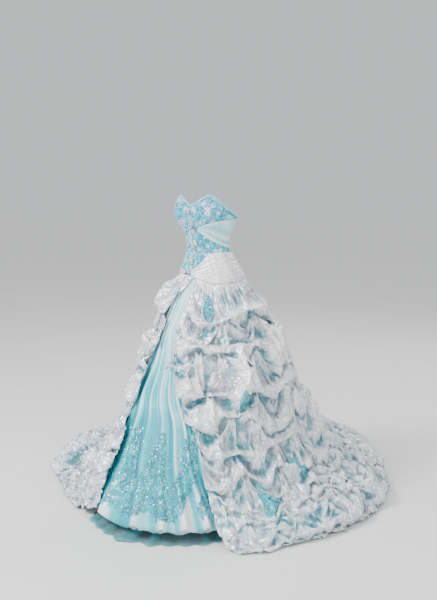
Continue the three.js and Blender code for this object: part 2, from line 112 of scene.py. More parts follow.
# the gown's form as tables of named columns: lengths in metres, azimuths in degrees
bodySections = {
    "z": [-0.200, -0.150, -0.126, -0.100, -0.067, -0.045, 0, 0.036, 0.075, 0.130, 0.200],
    "halfX": [0.160, 0.144, 0.134, 0.120, 0.105, 0.096, 0.092, 0.102, 0.121, 0.136, 0.122],
    "halfY": [0.132, 0.117, 0.109, 0.099, 0.086, 0.079, 0.074, 0.082, 0.096, 0.107, 0.100],
    "back": [0.038, 0.030, 0.024, 0.018, 0.011, 0.007, 0, 0, 0, 0, 0],
}
cup = {"azimuth": 36, "z": 0.118, "proud": 0.022, "halfAngle": 21, "halfHeight": 0.044}
edges = {
    "azimuth": [-180, -135, -90, -66, -41, -22, 0, 22, 41, 66, 90, 135, 180],
    "neck": [0.100, 0.098, 0.110, 0.146, 0.188, 0.174, 0.150, 0.174, 0.188, 0.146, 0.114, 0.098, 0.100],
    "seam": [-0.160, -0.158, -0.150, -0.142, -0.140, -0.142, -0.150, -0.163, -0.173, -0.174, -0.164,
             -0.158, -0.160],
    "sash": [-0.074, -0.092, -0.112, -0.120, -0.126, -0.134, -0.112, -0.082, -0.058, -0.048, -0.050,
             -0.060, -0.074],
}
skirtGrowth = {
    "drop": [0, 0.045, 0.120, 0.200, 0.300, 0.450, 0.640, 0.970],
    "front": [0, 0.042, 0.088, 0.132, 0.184, 0.258, 0.350, 0.520],
    "left": [0, 0.034, 0.062, 0.092, 0.130, 0.180, 0.220, 0.350],
    "back": [0, 0.044, 0.094, 0.138, 0.198, 0.284, 0.402, 0.590],
    "right": [0, 0.047, 0.088, 0.104, 0.144, 0.182, 0.236, 0.330],
}
hemOutline = {
    "azimuth": [-180, -150, -120, -104, -90, -78, -64, -50, -36, -19, 0, 30, 65, 79, 93, 110, 130, 146,
                163, 180],
    "rim": [1.130, 1.040, 0.950, 0.915, 0.855, 0.790, 0.700, 0.635, 0.592, 0.560, 0.600, 0.640, 0.650,
            0.665, 0.705, 0.755, 0.826, 0.890, 1.010, 1.130],
    "rise": [0, 0, 0, 0, 0, 0, 0, 0, 0.014, 0.062, 0.062, 0, 0, 0, 0, 0, 0, 0, 0, 0],
}
opening = {
    "z": [-1.120, -1.040, -0.920, -0.780, -0.690, -0.560, -0.450, -0.415, -0.340, -0.240, -0.190, -0.150],
    "right": [-19, -19, -20, -20, -25, -21, -20, -19, -20, -20, -9, -5],
    "left": [50, 44, 37, 31, 25, 17, 4, -2, 1, 5, 4, 3],
}
form = {
    "skirtStart": 0.0019,  # the skirts start this far below the hip seam
    "trainDrop": 0.640,  # below this drop the overskirt leaves the cone
    "trainCurve": 2.2,  # steepest bend of the train's profile
    "trainSlope": 0.45,  # run over fall where the train leaves the cone
    "coneTiers": 5,
    "allTiers": 9,
    "standFront": 0.015,  # how high the lowest tiers stand off that profile
    "standTrain": 0.085,
    "layerDrop": 0.150,  # the layers part over this drop
    "rowCrowding": 0.8,  # a power that sets the skirt's rows closer at the hip
}
layers = {  # how far each layer lies inside the cone, at the hip and at the hem
    "overskirt": (0, -0.008),
    "frontPanel": (0.005, 0.014),
    "underskirt": (0.009, 0.034),
    "petticoat": (0.013, 0.050),
}


def alongTable(table, key, column, at):
    # cubic Hermite curve through a column, with each slope taken across the two neighbouring rows
    x = np.asarray(table[key], float)
    y = np.asarray(table[column], float)
    at = np.clip(at, x[0], x[-1])
    first = np.maximum(np.arange(len(x)) - 1, 0)
    last = np.minimum(np.arange(len(x)) + 1, len(x) - 1)
    slope = (y[last] - y[first]) / (x[last] - x[first])
    i = np.clip(np.searchsorted(x, at) - 1, 0, len(x) - 2)
    span = x[i + 1] - x[i]
    t = (at - x[i]) / span
    start = (2 * t**3 - 3 * t**2 + 1) * y[i] + (t**3 - 2 * t**2 + t) * span * slope[i]
    return start + (3 * t**2 - 2 * t**3) * y[i + 1] + (t**3 - t**2) * span * slope[i + 1]


def wrapped(azimuth):
    return (np.asarray(azimuth) + 180) % 360 - 180


def smoothStep(x, low, high):
    # 3t squared less 2t cubed, where t runs from 0 at low to 1 at high
    t = np.clip((x - low) / (high - low), 0, 1)
    return t * t * (3 - 2 * t)


def mix(a, b, t):
    return a + (b - a) * t


def bell(x, middle, width):
    # e to the minus square of the distance from the middle, counted in widths
    return np.exp(-((x - middle) / width) ** 2)


def edgeAt(azimuth, column):
    return alongTable(edges, "azimuth", column, wrapped(azimuth))


def polar(azimuth, radius, z):
    # radius times the sine and minus the cosine of the azimuth, at height z
    turn = np.radians(azimuth)
    return np.stack(np.broadcast_arrays(radius * np.sin(turn), -radius * np.cos(turn), z), -1)


def bodyRadius(azimuth, z):
    # ray from the axis to an ellipse that is set back, plus a bell-shaped bulge for each cup
    turn = np.radians(azimuth)
    halfX, halfY, back = (alongTable(bodySections, "z", c, z) for c in ("halfX", "halfY", "back"))
    p = (np.sin(turn) / halfX) ** 2 + (np.cos(turn) / halfY) ** 2
    q = -np.cos(turn) * back / halfY**2
    s = (back / halfY) ** 2 - 1
    radius = (q + np.sqrt(q * q - p * s)) / p
    height = ((z - cup["z"]) / cup["halfHeight"]) ** 2
    for middle in (cup["azimuth"], -cup["azimuth"]):
        aside = (wrapped(azimuth) - middle) / cup["halfAngle"]
        radius = radius + cup["proud"] * np.exp(-(aside**2 + height) / 2)
    return radius


def layerRadius(layer, azimuth, drop):
    # hip radius plus the growth at that drop, blended from side to front by a power of the cosine
    turn = np.radians(azimuth)
    cosine, sine = np.cos(turn), np.sin(turn)
    front, left, back, right = (alongTable(skirtGrowth, "drop", c, drop)
                                for c in ("front", "left", "back", "right"))
    share = np.abs(cosine) ** np.where((sine < 0) & (cosine > 0), 4, 2)
    growth = mix(np.where(sine > 0, left, right), np.where(cosine > 0, front, back), share)
    inside = mix(*layers[layer], smoothStep(drop, 0, form["layerDrop"]))
    return bodyRadius(azimuth, edgeAt(azimuth, "seam")) + growth - inside


def conePoints(layer, azimuth, v, hemHeight):
    # heights run from the hem to the hip seam by a power of v; the radius is the layer's at that drop
    seam = edgeAt(azimuth, "seam") - form["skirtStart"]
    z = mix(hemHeight, seam, v ** form["rowCrowding"])
    return polar(azimuth, layerRadius(layer, azimuth, seam - z), z)


def overskirtBase(azimuth, down):
    # down counts tiers from the hip: a cone for the first five, then a curve that runs out to the hem
    seam = edgeAt(azimuth, "seam") - form["skirtStart"]
    breakRadius = layerRadius("overskirt", azimuth, form["trainDrop"])
    drop = form["trainDrop"] * np.minimum(down, form["coneTiers"]) / form["coneTiers"]
    cone = polar(azimuth, layerRadius("overskirt", azimuth, drop), seam - drop)
    out = np.clip((down - form["coneTiers"]) / (form["allTiers"] - form["coneTiers"]), 0, 1)
    rim = alongTable(hemOutline, "azimuth", "rim", wrapped(azimuth))
    hem = floorHeight + np.maximum(0, alongTable(hemOutline, "azimuth", "rise", wrapped(azimuth)))
    fall = seam - form["trainDrop"] - hem
    bend = np.clip((rim - breakRadius) / (form["trainSlope"] * fall), 1, form["trainCurve"])
    height = mix(form["standFront"], form["standTrain"], smoothStep(np.abs(wrapped(azimuth)), 45, 85))
    stand = height * np.sin(np.pi * np.minimum(out**2.2, 1)) ** 0.8
    train = polar(azimuth, mix(breakRadius, rim, out), hem + fall * (1 - out) ** bend + stand)
    return np.where((down > form["coneTiers"])[..., None], train, cone)


def gridOf(columns, rows):
    # u runs to the wearer's left along the columns, v runs up along the rows
    return np.meshgrid(np.linspace(0, 1, columns + 1), np.linspace(0, 1, rows + 1))


def normalsOf(points):
    across = np.gradient(points, axis=1)
    up = np.gradient(points, axis=0)
    normal = np.cross(across, up)
    return normal / np.maximum(np.linalg.norm(normal, axis=-1, keepdims=True), 1e-12)


def raised(points, height):
    return points + normalsOf(points) * np.asarray(height)[..., None]


def blurred(values, reach):
    # mean over a square window of the grid, by running sums
    for axis in (0, 1):
        width = [(0, 0), (0, 0)]
        width[axis] = (reach + 1, reach)
        total = np.cumsum(np.pad(values, width, mode="edge"), axis=axis)
        count = values.shape[axis]
        high = np.take(total, np.arange(count) + 2 * reach + 1, axis=axis)
        low = np.take(total, np.arange(count), axis=axis)
        values = (high - low) / (2 * reach + 1)
    return values


def wander(u, v, scale, seed):
    # smooth uneven values between -1 and 1: six sine waves of random direction and phase
    draw = np.random.default_rng(seed)
    total = 0
    for _ in range(6):
        a, b, phase = draw.uniform(-scale, scale), draw.uniform(-scale, scale), draw.uniform(0, 6.283)
        total = total + np.sin(2 * np.pi * (a * u + b * v) + phase)
    return total / 4


def runLength(points, axis):
    # distance along the middle row or column of a grid
    middle = np.take(points, points.shape[1 - axis] // 2, axis=1 - axis)
    steps = np.linalg.norm(np.diff(middle, axis=0), axis=-1)
    return np.concatenate([[0], np.cumsum(steps)])


def addObject(name, mesh):
    item = bpy.data.objects.new(name, mesh)
    bpy.context.scene.collection.objects.link(item)
    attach(item, "gown")
    return item


def storeValues(mesh, values):
    # one number for each point of the mesh, under each name
    for key, value in values.items():
        attribute = mesh.attributes.new(key, "FLOAT", "POINT")
        attribute.data.foreach_set("value", np.asarray(value, np.float32).ravel())


def gridFaces(shape):
    index = np.arange(shape[0] * shape[1]).reshape(shape)
    return np.stack([index[:-1, :-1], index[:-1, 1:], index[1:, 1:], index[1:, :-1]], -1).reshape(-1, 4)


def fillMesh(name, points, faces, values=None, uv=None):
    # drops the points that no face uses, and stores values on points and uv on face corners
    used, faces = np.unique(faces, return_inverse=True)
    faces = faces.reshape(-1, 4)
    mesh = bpy.data.meshes.new(name)
    mesh.from_pydata(points.reshape(-1, 3)[used], [], faces.tolist())
    mesh.shade_smooth()
    storeValues(mesh, {key: np.ravel(value)[used] for key, value in (values or {}).items()})
    if uv is not None:
        corners = uv.reshape(-1, 2)[used][faces.ravel()]
        mesh.uv_layers.new(name="UVMap").data.foreach_set("uv", corners.astype(np.float32).ravel())
    mesh.update()
    return mesh


def makeShell(name, points, thickness, material, values=None, keep=None, inward=True, smoother=0):
    # a wall of cloth on a grid of points; keep says which cells stay, and uv is in metres
    faces = gridFaces(points.shape[:2])
    if keep is not None:
        faces = faces[keep[:-1, :-1].ravel()]
    uv = np.stack(np.meshgrid(runLength(points, 1), runLength(points, 0)), -1)
    item = addObject(name, fillMesh(name, points, faces, values, uv))
    item.data.materials.append(material)
    if smoother:
        subdivision = item.modifiers.new("smooth", "SUBSURF")
        subdivision.levels = smoother
        subdivision.render_levels = smoother
    if thickness:
        wall = item.modifiers.new("wall", "SOLIDIFY")
        wall.thickness = thickness
        wall.offset = -1 if inward else 1
    return item


def repeated(name, template, faces, places, axes, material, values=None):
    # copies one small shape to many places; axes holds three vectors for each, already scaled
    count = len(places)
    points = places[:, None, :] + np.einsum("kc,nci->nki", template, axes)
    allFaces = np.asarray(faces)[None] + (np.arange(count) * len(template))[:, None, None]
    mesh = bpy.data.meshes.new(name)
    mesh.from_pydata(points.reshape(-1, 3), [], allFaces.reshape(-1, len(faces[0])).tolist())
    storeValues(mesh, {key: np.repeat(value, len(template)) for key, value in (values or {}).items()})
    mesh.update()
    mesh.materials.append(material)
    return addObject(name, mesh)


def areaOf(points):
    # half the cross product of each cell's two diagonals
    a = points[1:, 1:] - points[:-1, :-1]
    b = points[1:, :-1] - points[:-1, 1:]
    return np.linalg.norm(np.cross(a, b), axis=-1) / 2


motifShare = 0.32  # scattered motifs are cut from a strip that they fill this much of


def declareCut(points, keep=None):
    # the flat cut: the area of the cells that are there, and the longest run of them each way
    cells = areaOf(points)
    if keep is not None:
        rows, columns = (np.flatnonzero(keep.any(axis)) for axis in (1, 0))
        cells = cells * keep[:-1, :-1]
        points = points[rows[0]:rows[-1] + 1, columns[0]:columns[-1] + 1]
    width = np.linalg.norm(np.diff(points, axis=1), axis=-1).sum(1).max() + 0.001
    length = np.linalg.norm(np.diff(points, axis=0), axis=-1).sum(0).max() + 0.001
    area = float(cells.sum())
    width = min(width, area / (motifShare * length))


def standFor(node):
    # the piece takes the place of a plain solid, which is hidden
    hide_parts(node)


def frameAt(points, row, column):
    # place, outward normal and the way across at chosen cells of a grid
    normal = normalsOf(points)
    across = np.gradient(points, axis=1)
    n, t = normal[row, column], across[row, column]
    t = t / np.linalg.norm(t, axis=-1, keepdims=True)
    return points[row, column], n, t


def newGroup(name, inputs, outputs):
    group = bpy.data.node_groups.new(name, "ShaderNodeTree")
    for label, kind, value in inputs:
        socket = group.interface.new_socket(label, in_out="INPUT", socket_type=kind)
        socket.default_value = value
    for label, kind in outputs:
        group.interface.new_socket(label, in_out="OUTPUT", socket_type=kind)
    return group, group.nodes.new("NodeGroupInput"), group.nodes.new("NodeGroupOutput")


def mathNode(tree, operation, a, b):
    node = tree.nodes.new("ShaderNodeMath")
    node.operation = operation
    for socket, value in zip(node.inputs, (a, b)):
        if hasattr(value, "is_output"):
            tree.links.new(value, socket)
        else:
            socket.default_value = value
    return node.outputs[0]


def noiseNode(tree, vector, scale, detail=3.0, distortion=0.0):
    node = tree.nodes.new("ShaderNodeTexNoise")
    node.inputs["Detail"].default_value = detail
    node.inputs["Distortion"].default_value = distortion
    node.inputs["Scale"].default_value = scale
    tree.links.new(vector, node.inputs["Vector"])
    return node.outputs["Fac"]


def drifting(tree, value, noise, amount):
    # the value plus amount times how far the noise lies from its mean
    drift = mathNode(tree, "MULTIPLY", mathNode(tree, "SUBTRACT", noise, 0.5), amount)
    return mathNode(tree, "ADD", value, drift)


def rangeNode(tree, value, limits, interpolation="LINEAR"):
    node = tree.nodes.new("ShaderNodeMapRange")
    node.interpolation_type = interpolation
    for label, number in limits.items():
        node.inputs[label].default_value = number
    tree.links.new(value, node.inputs["Value"])
    return node.outputs["Result"]


def rampNode(tree, value, stops):
    node = tree.nodes.new("ShaderNodeValToRGB")
    ramp = node.color_ramp
    while len(ramp.elements) < len(stops):
        ramp.elements.new(0.5)
    for element, (place, color) in zip(ramp.elements, stops):
        element.position = place
        element.color = (*color, 1)
    tree.links.new(value, node.inputs["Fac"])
    return node.outputs["Color"]


def blendNode(tree, factor, a, b, kind="MIX"):
    node = tree.nodes.new("ShaderNodeMix")
    node.data_type = "RGBA"
    node.blend_type = kind
    sockets = [node.inputs["Factor"], *[s for s in node.inputs if s.type == "RGBA"]]
    for socket, value in zip(sockets, (factor, a, b)):
        if hasattr(value, "is_output"):
            tree.links.new(value, socket)
        else:
            socket.default_value = (*value, 1) if isinstance(value, tuple) else value
    return [s for s in node.outputs if s.type == "RGBA"][0]


def buildCrinkleGroup():
    # crumpled cloth: sharp pressed-in lines at two sizes over shallow cells, bent by a broad soft noise
    inputs = [("Vector", "NodeSocketVector", (0, 0, 0)), ("Scale", "NodeSocketFloat", 30.0),
              ("Distance", "NodeSocketFloat", 0.002)]
    group, start, end = newGroup("crinkledCloth", inputs,
                                 [("Normal", "NodeSocketVector"), ("Crease", "NodeSocketFloat")])
    noise = group.nodes.new("ShaderNodeTexNoise")
    group.links.new(start.outputs["Vector"], noise.inputs["Vector"])
    noise.inputs["Scale"].default_value = 14
    bent = group.nodes.new("ShaderNodeVectorMath")
    bent.operation = "MULTIPLY_ADD"
    bent.inputs[1].default_value = (0.05, 0.05, 0.05)
    group.links.new(noise.outputs["Color"], bent.inputs[0])
    group.links.new(start.outputs["Vector"], bent.inputs[2])
    heights = []
    for share, weight in ((1.0, 0.55), (2.6, 0.30)):
        ridges = group.nodes.new("ShaderNodeTexNoise")
        ridges.noise_type = "RIDGED_MULTIFRACTAL"
        ridges.inputs["Detail"].default_value = 1.5
        ridges.inputs["Roughness"].default_value = 0.4
        ridges.inputs["Offset"].default_value = 1.0
        group.links.new(bent.outputs[0], ridges.inputs["Vector"])
        size = mathNode(group, "MULTIPLY", start.outputs["Scale"], share)
        group.links.new(size, ridges.inputs["Scale"])
        heights.append(mathNode(group, "MULTIPLY", ridges.outputs["Fac"], weight))
    cells = group.nodes.new("ShaderNodeTexVoronoi")
    group.links.new(bent.outputs[0], cells.inputs["Vector"])
    group.links.new(mathNode(group, "MULTIPLY", start.outputs["Scale"], 1.7), cells.inputs["Scale"])
    heights.append(mathNode(group, "MULTIPLY", cells.outputs["Distance"], 0.35))
    total = mathNode(group, "ADD", mathNode(group, "ADD", heights[0], heights[1]), heights[2])
    creases = mathNode(group, "MULTIPLY", total, 0.75)
    group.links.new(creases, end.inputs["Crease"])
    bump = group.nodes.new("ShaderNodeBump")
    bump.invert = True
    bump.inputs["Strength"].default_value = 1
    group.links.new(start.outputs["Distance"], bump.inputs["Distance"])
    group.links.new(creases, bump.inputs["Height"])
    group.links.new(bump.outputs["Normal"], end.inputs["Normal"])
    return group


def buildWeaveGroup():
    # plain weave: the higher of two crossing sets of thread ridges, and a mask of small specks for painted
    # glints
    inputs = [("Vector", "NodeSocketVector", (0, 0, 0)), ("Threads", "NodeSocketFloat", 900.0),
              ("Distance", "NodeSocketFloat", 0.00006)]
    group, start, end = newGroup("wovenThreads", inputs,
                                 [("Height", "NodeSocketFloat"), ("Sparkle", "NodeSocketFloat")])
    waves = []
    for direction in ("X", "Y"):
        wave = group.nodes.new("ShaderNodeTexWave")
        wave.bands_direction = direction
        group.links.new(start.outputs["Vector"], wave.inputs["Vector"])
        group.links.new(start.outputs["Threads"], wave.inputs["Scale"])
        waves.append(wave.outputs["Fac"])
    height = mathNode(group, "MAXIMUM", waves[0], waves[1])
    scaled = mathNode(group, "MULTIPLY", height, start.outputs["Distance"])
    group.links.new(scaled, end.inputs["Height"])
    fine = noiseNode(group, start.outputs["Vector"], 420.0, 2.0)
    group.links.new(rangeNode(group, fine, {"From Min": 0.66, "From Max": 0.74}), end.inputs["Sparkle"])
    return group


crinkleGroup = buildCrinkleGroup()
weaveGroup = buildWeaveGroup()


shaderSockets = {
    "sheen": "Sheen Weight", "coat": "Coat Weight", "coatRoughness": "Coat Roughness",
    "metallic": "Metallic", "specular": "Specular IOR Level",
}


def newMaterial(name, roughness, **settings):
    material = bpy.data.materials.new(name)
    material.use_nodes = True
    tree = material.node_tree
    shader = tree.nodes["Principled BSDF"]
    shader.inputs["Roughness"].default_value = roughness
    for key, value in settings.items():
        shader.inputs[shaderSockets[key]].default_value = value
    coordinates = tree.nodes.new("ShaderNodeTexCoord")
    return material, tree, shader, coordinates


def readValue(tree, name):
    node = tree.nodes.new("ShaderNodeAttribute")
    node.attribute_name = name
    return node.outputs["Fac"]


def placeGroup(tree, group, vector, **values):
    node = tree.nodes.new("ShaderNodeGroup")
    node.node_tree = group
    tree.links.new(vector, node.inputs["Vector"])
    for key, value in values.items():
        node.inputs[key].default_value = value
    return node


def bumpOf(tree, shader, height, distance=1.0, normal=None):
    bump = tree.nodes.new("ShaderNodeBump")
    bump.inputs["Distance"].default_value = distance
    tree.links.new(height, bump.inputs["Height"])
    if normal is not None:
        tree.links.new(normal, bump.inputs["Normal"])
    tree.links.new(bump.outputs["Normal"], shader.inputs["Normal"])


def taffetaMaterial(name, stops, crinkle, creaseShade, lowTint, roughness):
    # crisp taffeta: pale on the crests, with painted shade in the folds that is teal or grey by patches,
    # tinted towards the floor, and darkened along its creases by a painted crease shade colour
    material, tree, shader, coordinates = newMaterial(
        name, roughness, sheen=0.2, coat=0.3, coatRoughness=0.2, specular=0.6, metallic=0.38)
    folds = readValue(tree, "toneAndShading")
    mixed = drifting(tree, folds, noiseNode(tree, coordinates.outputs["Object"], 9.0, 4.0, 0.6), 0.5)
    # painted shade: the stored value turns the colour teal or grey in the folds
    tealFolds = rampNode(tree, mixed, stops)
    greyFolds = rampNode(tree, mixed, greyStops)
    patches = noiseNode(tree, coordinates.outputs["Object"], 7.0, 2.0, 0.8)
    share = rampNode(tree, patches, [(0.44, (0, 0, 0)), (0.56, (1, 1, 1))])
    color = blendNode(tree, share, greyFolds, tealFolds)
    split = tree.nodes.new("ShaderNodeSeparateXYZ")
    tree.links.new(coordinates.outputs["Object"], split.inputs[0])
    low = rangeNode(tree, split.outputs["Z"], {"From Min": -0.55, "From Max": -1.05, "To Max": 0.55},
                    "SMOOTHSTEP")
    color = blendNode(tree, low, color, lowTint, "MULTIPLY")
    crumple = placeGroup(tree, crinkleGroup, coordinates.outputs["Object"], **crinkle)
    # painted shade: the crease shade colour darkens the cloth along the crumple bump's creases
    shade = rampNode(tree, crumple.outputs["Crease"], [(0.58, (1, 1, 1)), (0.80, creaseShade)])
    color = blendNode(tree, 1.0, color, shade, "MULTIPLY")
    weave = placeGroup(tree, weaveGroup, coordinates.outputs["UV"], Threads=420.0, Distance=0.00004)
    # painted glints: small white specks are mixed into the colour where the sparkle mask is high
    color = blendNode(tree, weave.outputs["Sparkle"], color, (0.95, 0.97, 0.98))
    tree.links.new(color, shader.inputs["Base Color"])
    bumpOf(tree, shader, weave.outputs["Height"], 1.0, crumple.outputs["Normal"])
    return material


def satinMaterial(name, stops, roughness, value=None):
    # smooth satin: colour drifts softly, or follows a value stored on the piece
    material, tree, shader, coordinates = newMaterial(
        name, roughness, sheen=0.08, coat=0.2, coatRoughness=0.25, specular=0.55)
    tone = noiseNode(tree, coordinates.outputs["Object"], 16.0, 4.0, 0.4)
    if value:
        tone = drifting(tree, readValue(tree, value), tone, 0.35)
    tree.links.new(rampNode(tree, tone, stops), shader.inputs["Base Color"])
    crumple = placeGroup(tree, crinkleGroup, coordinates.outputs["Object"], Scale=18.0, Distance=0.0007)
    weave = placeGroup(tree, weaveGroup, coordinates.outputs["UV"], Threads=700.0, Distance=0.00003)
    bumpOf(tree, shader, weave.outputs["Height"], 1.0, crumple.outputs["Normal"])
    return material


def laceMaterial(name, stops, roughness=0.42):
    # embroidered lace: the thread colour of each motif is a value stored on the piece
    material, tree, shader, coordinates = newMaterial(name, roughness, sheen=0.1, coat=0.1, coatRoughness=0.3)
    uneven = noiseNode(tree, coordinates.outputs["Object"], 120.0, 2.0)
    tint = drifting(tree, readValue(tree, "tint"), uneven, 0.25)
    tree.links.new(rampNode(tree, tint, stops), shader.inputs["Base Color"])
    thread = tree.nodes.new("ShaderNodeTexWave")
    thread.inputs["Scale"].default_value = 260
    thread.inputs["Distortion"].default_value = 6
    tree.links.new(coordinates.outputs["Object"], thread.inputs["Vector"])
    bumpOf(tree, shader, thread.outputs["Fac"], 0.0003)
    return material


def netMaterial(name, deep, pale, alpha):
    # sheer net: fine mesh of threads, paler with painted highlight and less sheer where it stands in a ridge
    material, tree, shader, coordinates = newMaterial(name, 0.45, sheen=0.4, specular=0.4)
    uneven = noiseNode(tree, coordinates.outputs["Object"], 12.0, 3.0, 0.5)
    tone = drifting(tree, readValue(tree, "toneAndShading"), uneven, 0.4)
    tree.links.new(rampNode(tree, tone, [(0.1, deep), (0.9, pale)]), shader.inputs["Base Color"])
    weave = placeGroup(tree, weaveGroup, coordinates.outputs["UV"], Threads=300.0, Distance=0.0001)
    bumpOf(tree, shader, weave.outputs["Height"])
    cover = rangeNode(tree, tone, {"To Min": alpha[0], "To Max": alpha[1]})
    tree.links.new(cover, shader.inputs["Alpha"])
    return material


def gemMaterial(name, stops, roughness=0.12, metallic=0.0):
    # polished bead or stone: the colour of each one's tint, with white glints by a fine noise
    material, tree, shader, coordinates = newMaterial(
        name, roughness, coat=0.8, coatRoughness=0.05, specular=0.8, metallic=metallic)
    color = rampNode(tree, readValue(tree, "tint"), stops)
    glint = mathNode(tree, "MULTIPLY", noiseNode(tree, coordinates.outputs["Object"], 300.0, 2.0), 0.4)
    tree.links.new(blendNode(tree, glint, color, (1.0, 1.0, 1.0)), shader.inputs["Base Color"])
    return material


def metalMaterial(name, color, roughness):
    # worn plate: one noise darkens it, roughens it and dents it a little
    material, tree, shader, coordinates = newMaterial(name, roughness, metallic=1.0)
    wear = noiseNode(tree, coordinates.outputs["Object"], 700.0, 4.0)
    tree.links.new(rampNode(tree, wear, [(0.3, tuple(0.75 * c for c in color)), (0.7, color)]),
                   shader.inputs["Base Color"])
    rubbed = rangeNode(tree, wear, {"To Min": roughness * 0.7, "To Max": roughness * 1.5})
    tree.links.new(rubbed, shader.inputs["Roughness"])
    bumpOf(tree, shader, wear, 0.00005)
    return material


# each colour stop is a place from 0 to 1 and the colour there
# pale crests running into painted fold shade: teal in some patches, grey in others
foldStops = [(0.0, (0.97, 0.97, 0.98)), (0.42, (0.90, 0.91, 0.93)), (0.58, (0.62, 0.70, 0.75)),
             (0.72, (0.34, 0.54, 0.59)), (0.86, (0.13, 0.42, 0.47)), (1.0, (0.04, 0.24, 0.28))]
greyStops = [(0.0, (0.97, 0.97, 0.98)), (0.46, (0.90, 0.90, 0.92)), (0.64, (0.66, 0.66, 0.71)),
             (0.82, (0.42, 0.44, 0.50)), (1.0, (0.16, 0.27, 0.31))]
overskirtCloth = taffetaMaterial(
    "crinkledTaffeta", foldStops, crinkle={"Scale": 22.0, "Distance": 0.012},
    creaseShade=(0.76, 0.77, 0.82), lowTint=(0.74, 0.91, 0.95), roughness=0.30)
sashCloth = taffetaMaterial(
    "sashTaffeta", greyStops, crinkle={"Scale": 30.0, "Distance": 0.0020},
    creaseShade=(0.92, 0.92, 0.94), lowTint=(0.80, 0.83, 0.86), roughness=0.34)
bodiceSatin = satinMaterial("aquaSatin", [(0.3, (0.0, 0.33, 0.47)), (0.7, (0.0, 0.52, 0.67))], 0.34)
drapeSatin = satinMaterial("paleSatin", [
    (0.0, (0.10, 0.52, 0.60)), (0.5, (0.36, 0.74, 0.80)), (1.0, (0.80, 0.94, 0.95))], 0.32, "toneAndShading")
hemSatin = satinMaterial("hemSatin", [
    (0.0, (0.05, 0.42, 0.48)), (0.35, (0.30, 0.70, 0.74)), (0.75, (0.66, 0.84, 0.87)),
    (1.0, (0.82, 0.89, 0.91))], 0.30, "toneAndShading")
frontNet = satinMaterial("pleatedNet", [
    (0.0, (0.0, 0.18, 0.24)), (0.24, (0.0, 0.36, 0.44)), (0.46, (0.05, 0.54, 0.62)),
    (0.66, (0.42, 0.78, 0.83)), (0.86, (0.90, 0.95, 0.96)), (1.0, (0.95, 0.97, 0.98))], 0.36, "toneAndShading")
underNet = netMaterial("petticoatNet", (0.0, 0.09, 0.11), (0.03, 0.38, 0.42), (0.30, 0.80))
bodiceLace = laceMaterial("bodiceLace", [
    (0.0, (0.0, 0.30, 0.46)), (0.22, (0.0, 0.50, 0.68)), (0.42, (0.03, 0.68, 0.82)),
    (0.60, (0.90, 0.95, 0.98)), (0.78, (0.26, 0.36, 0.74)), (1.0, (0.02, 0.20, 0.50))])
turquoiseLace = laceMaterial("turquoiseLace", [
    (0.0, (0.0, 0.20, 0.27)), (0.4, (0.0, 0.38, 0.48)), (0.75, (0.0, 0.62, 0.70)),
    (1.0, (0.05, 0.80, 0.86))], 0.35)
edgeLace = laceMaterial("edgeLace", [(0.0, (0.03, 0.52, 0.62)), (1.0, (0.34, 0.80, 0.87))])
beadGlass = gemMaterial("beadGlass", [
    (0.0, (0.02, 0.60, 0.68)), (0.4, (0.30, 0.80, 0.86)), (0.7, (0.92, 0.95, 0.97)),
    (1.0, (0.55, 0.62, 0.85))])
sequinFoil = gemMaterial("sequinFoil", [
    (0.0, (0.0, 0.50, 0.58)), (0.5, (0.10, 0.80, 0.84)), (1.0, (0.85, 0.92, 0.94))], 0.18, 0.6)
amberStone = gemMaterial("amberStone", [(0.0, (0.26, 0.07, 0.0)), (1.0, (0.66, 0.27, 0.02))], 0.06)
zipMetal = metalMaterial("zipMetal", (0.72, 0.74, 0.77), 0.28)
zipTape = satinMaterial("zipTape", [(0.3, (0.05, 0.42, 0.50)), (0.7, (0.10, 0.55, 0.62))], 0.55)
print("materials done:", len(bpy.data.materials))


def floorMaterial():
    material, tree, shader, coordinates = newMaterial("paleFloor", 0.62)
    drift = noiseNode(tree, coordinates.outputs["Object"], 3.0, 5.0)
    tone = floorPlane["color"]
    tree.links.new(rampNode(tree, drift, [(0.35, tuple(0.97 * c for c in tone)), (0.65, tone)]),
                   shader.inputs["Base Color"])
    return material


def buildFloor():
    reach = floorPlane["reach"]
    u, v = gridOf(1, 1)
    points = np.stack([mix(-reach, reach, u), mix(-reach, reach, v), np.full(u.shape, floorHeight)], -1)
    item = addObject("floor", fillMesh("floor", points, gridFaces(u.shape)))
    item.data.materials.append(floorMaterial())


def scatterMotifs(width, height, spacing, radius, seed, tints):
    # flowers on a jittered brick grid; each has a size, a turn, a number of petals and a thread colour
    draw = np.random.default_rng(seed)
    rows = int(height / spacing) + 2
    columns = int(width / spacing) + 2
    row, column = (g.ravel() for g in np.mgrid[0:rows, 0:columns])
    x = (column + 0.5 * (row % 2)) * spacing - width / 2 + draw.uniform(-0.3, 0.3, row.size) * spacing
    y = row * spacing + draw.uniform(-0.3, 0.3, row.size) * spacing
    size = radius * draw.uniform(0.7, 1.25, row.size)
    turn = draw.uniform(0, 2 * np.pi, row.size)
    petals = draw.choice([5, 6, 8], row.size)
    return np.stack([x, y, size, turn, petals, draw.choice(tints, row.size)], -1)


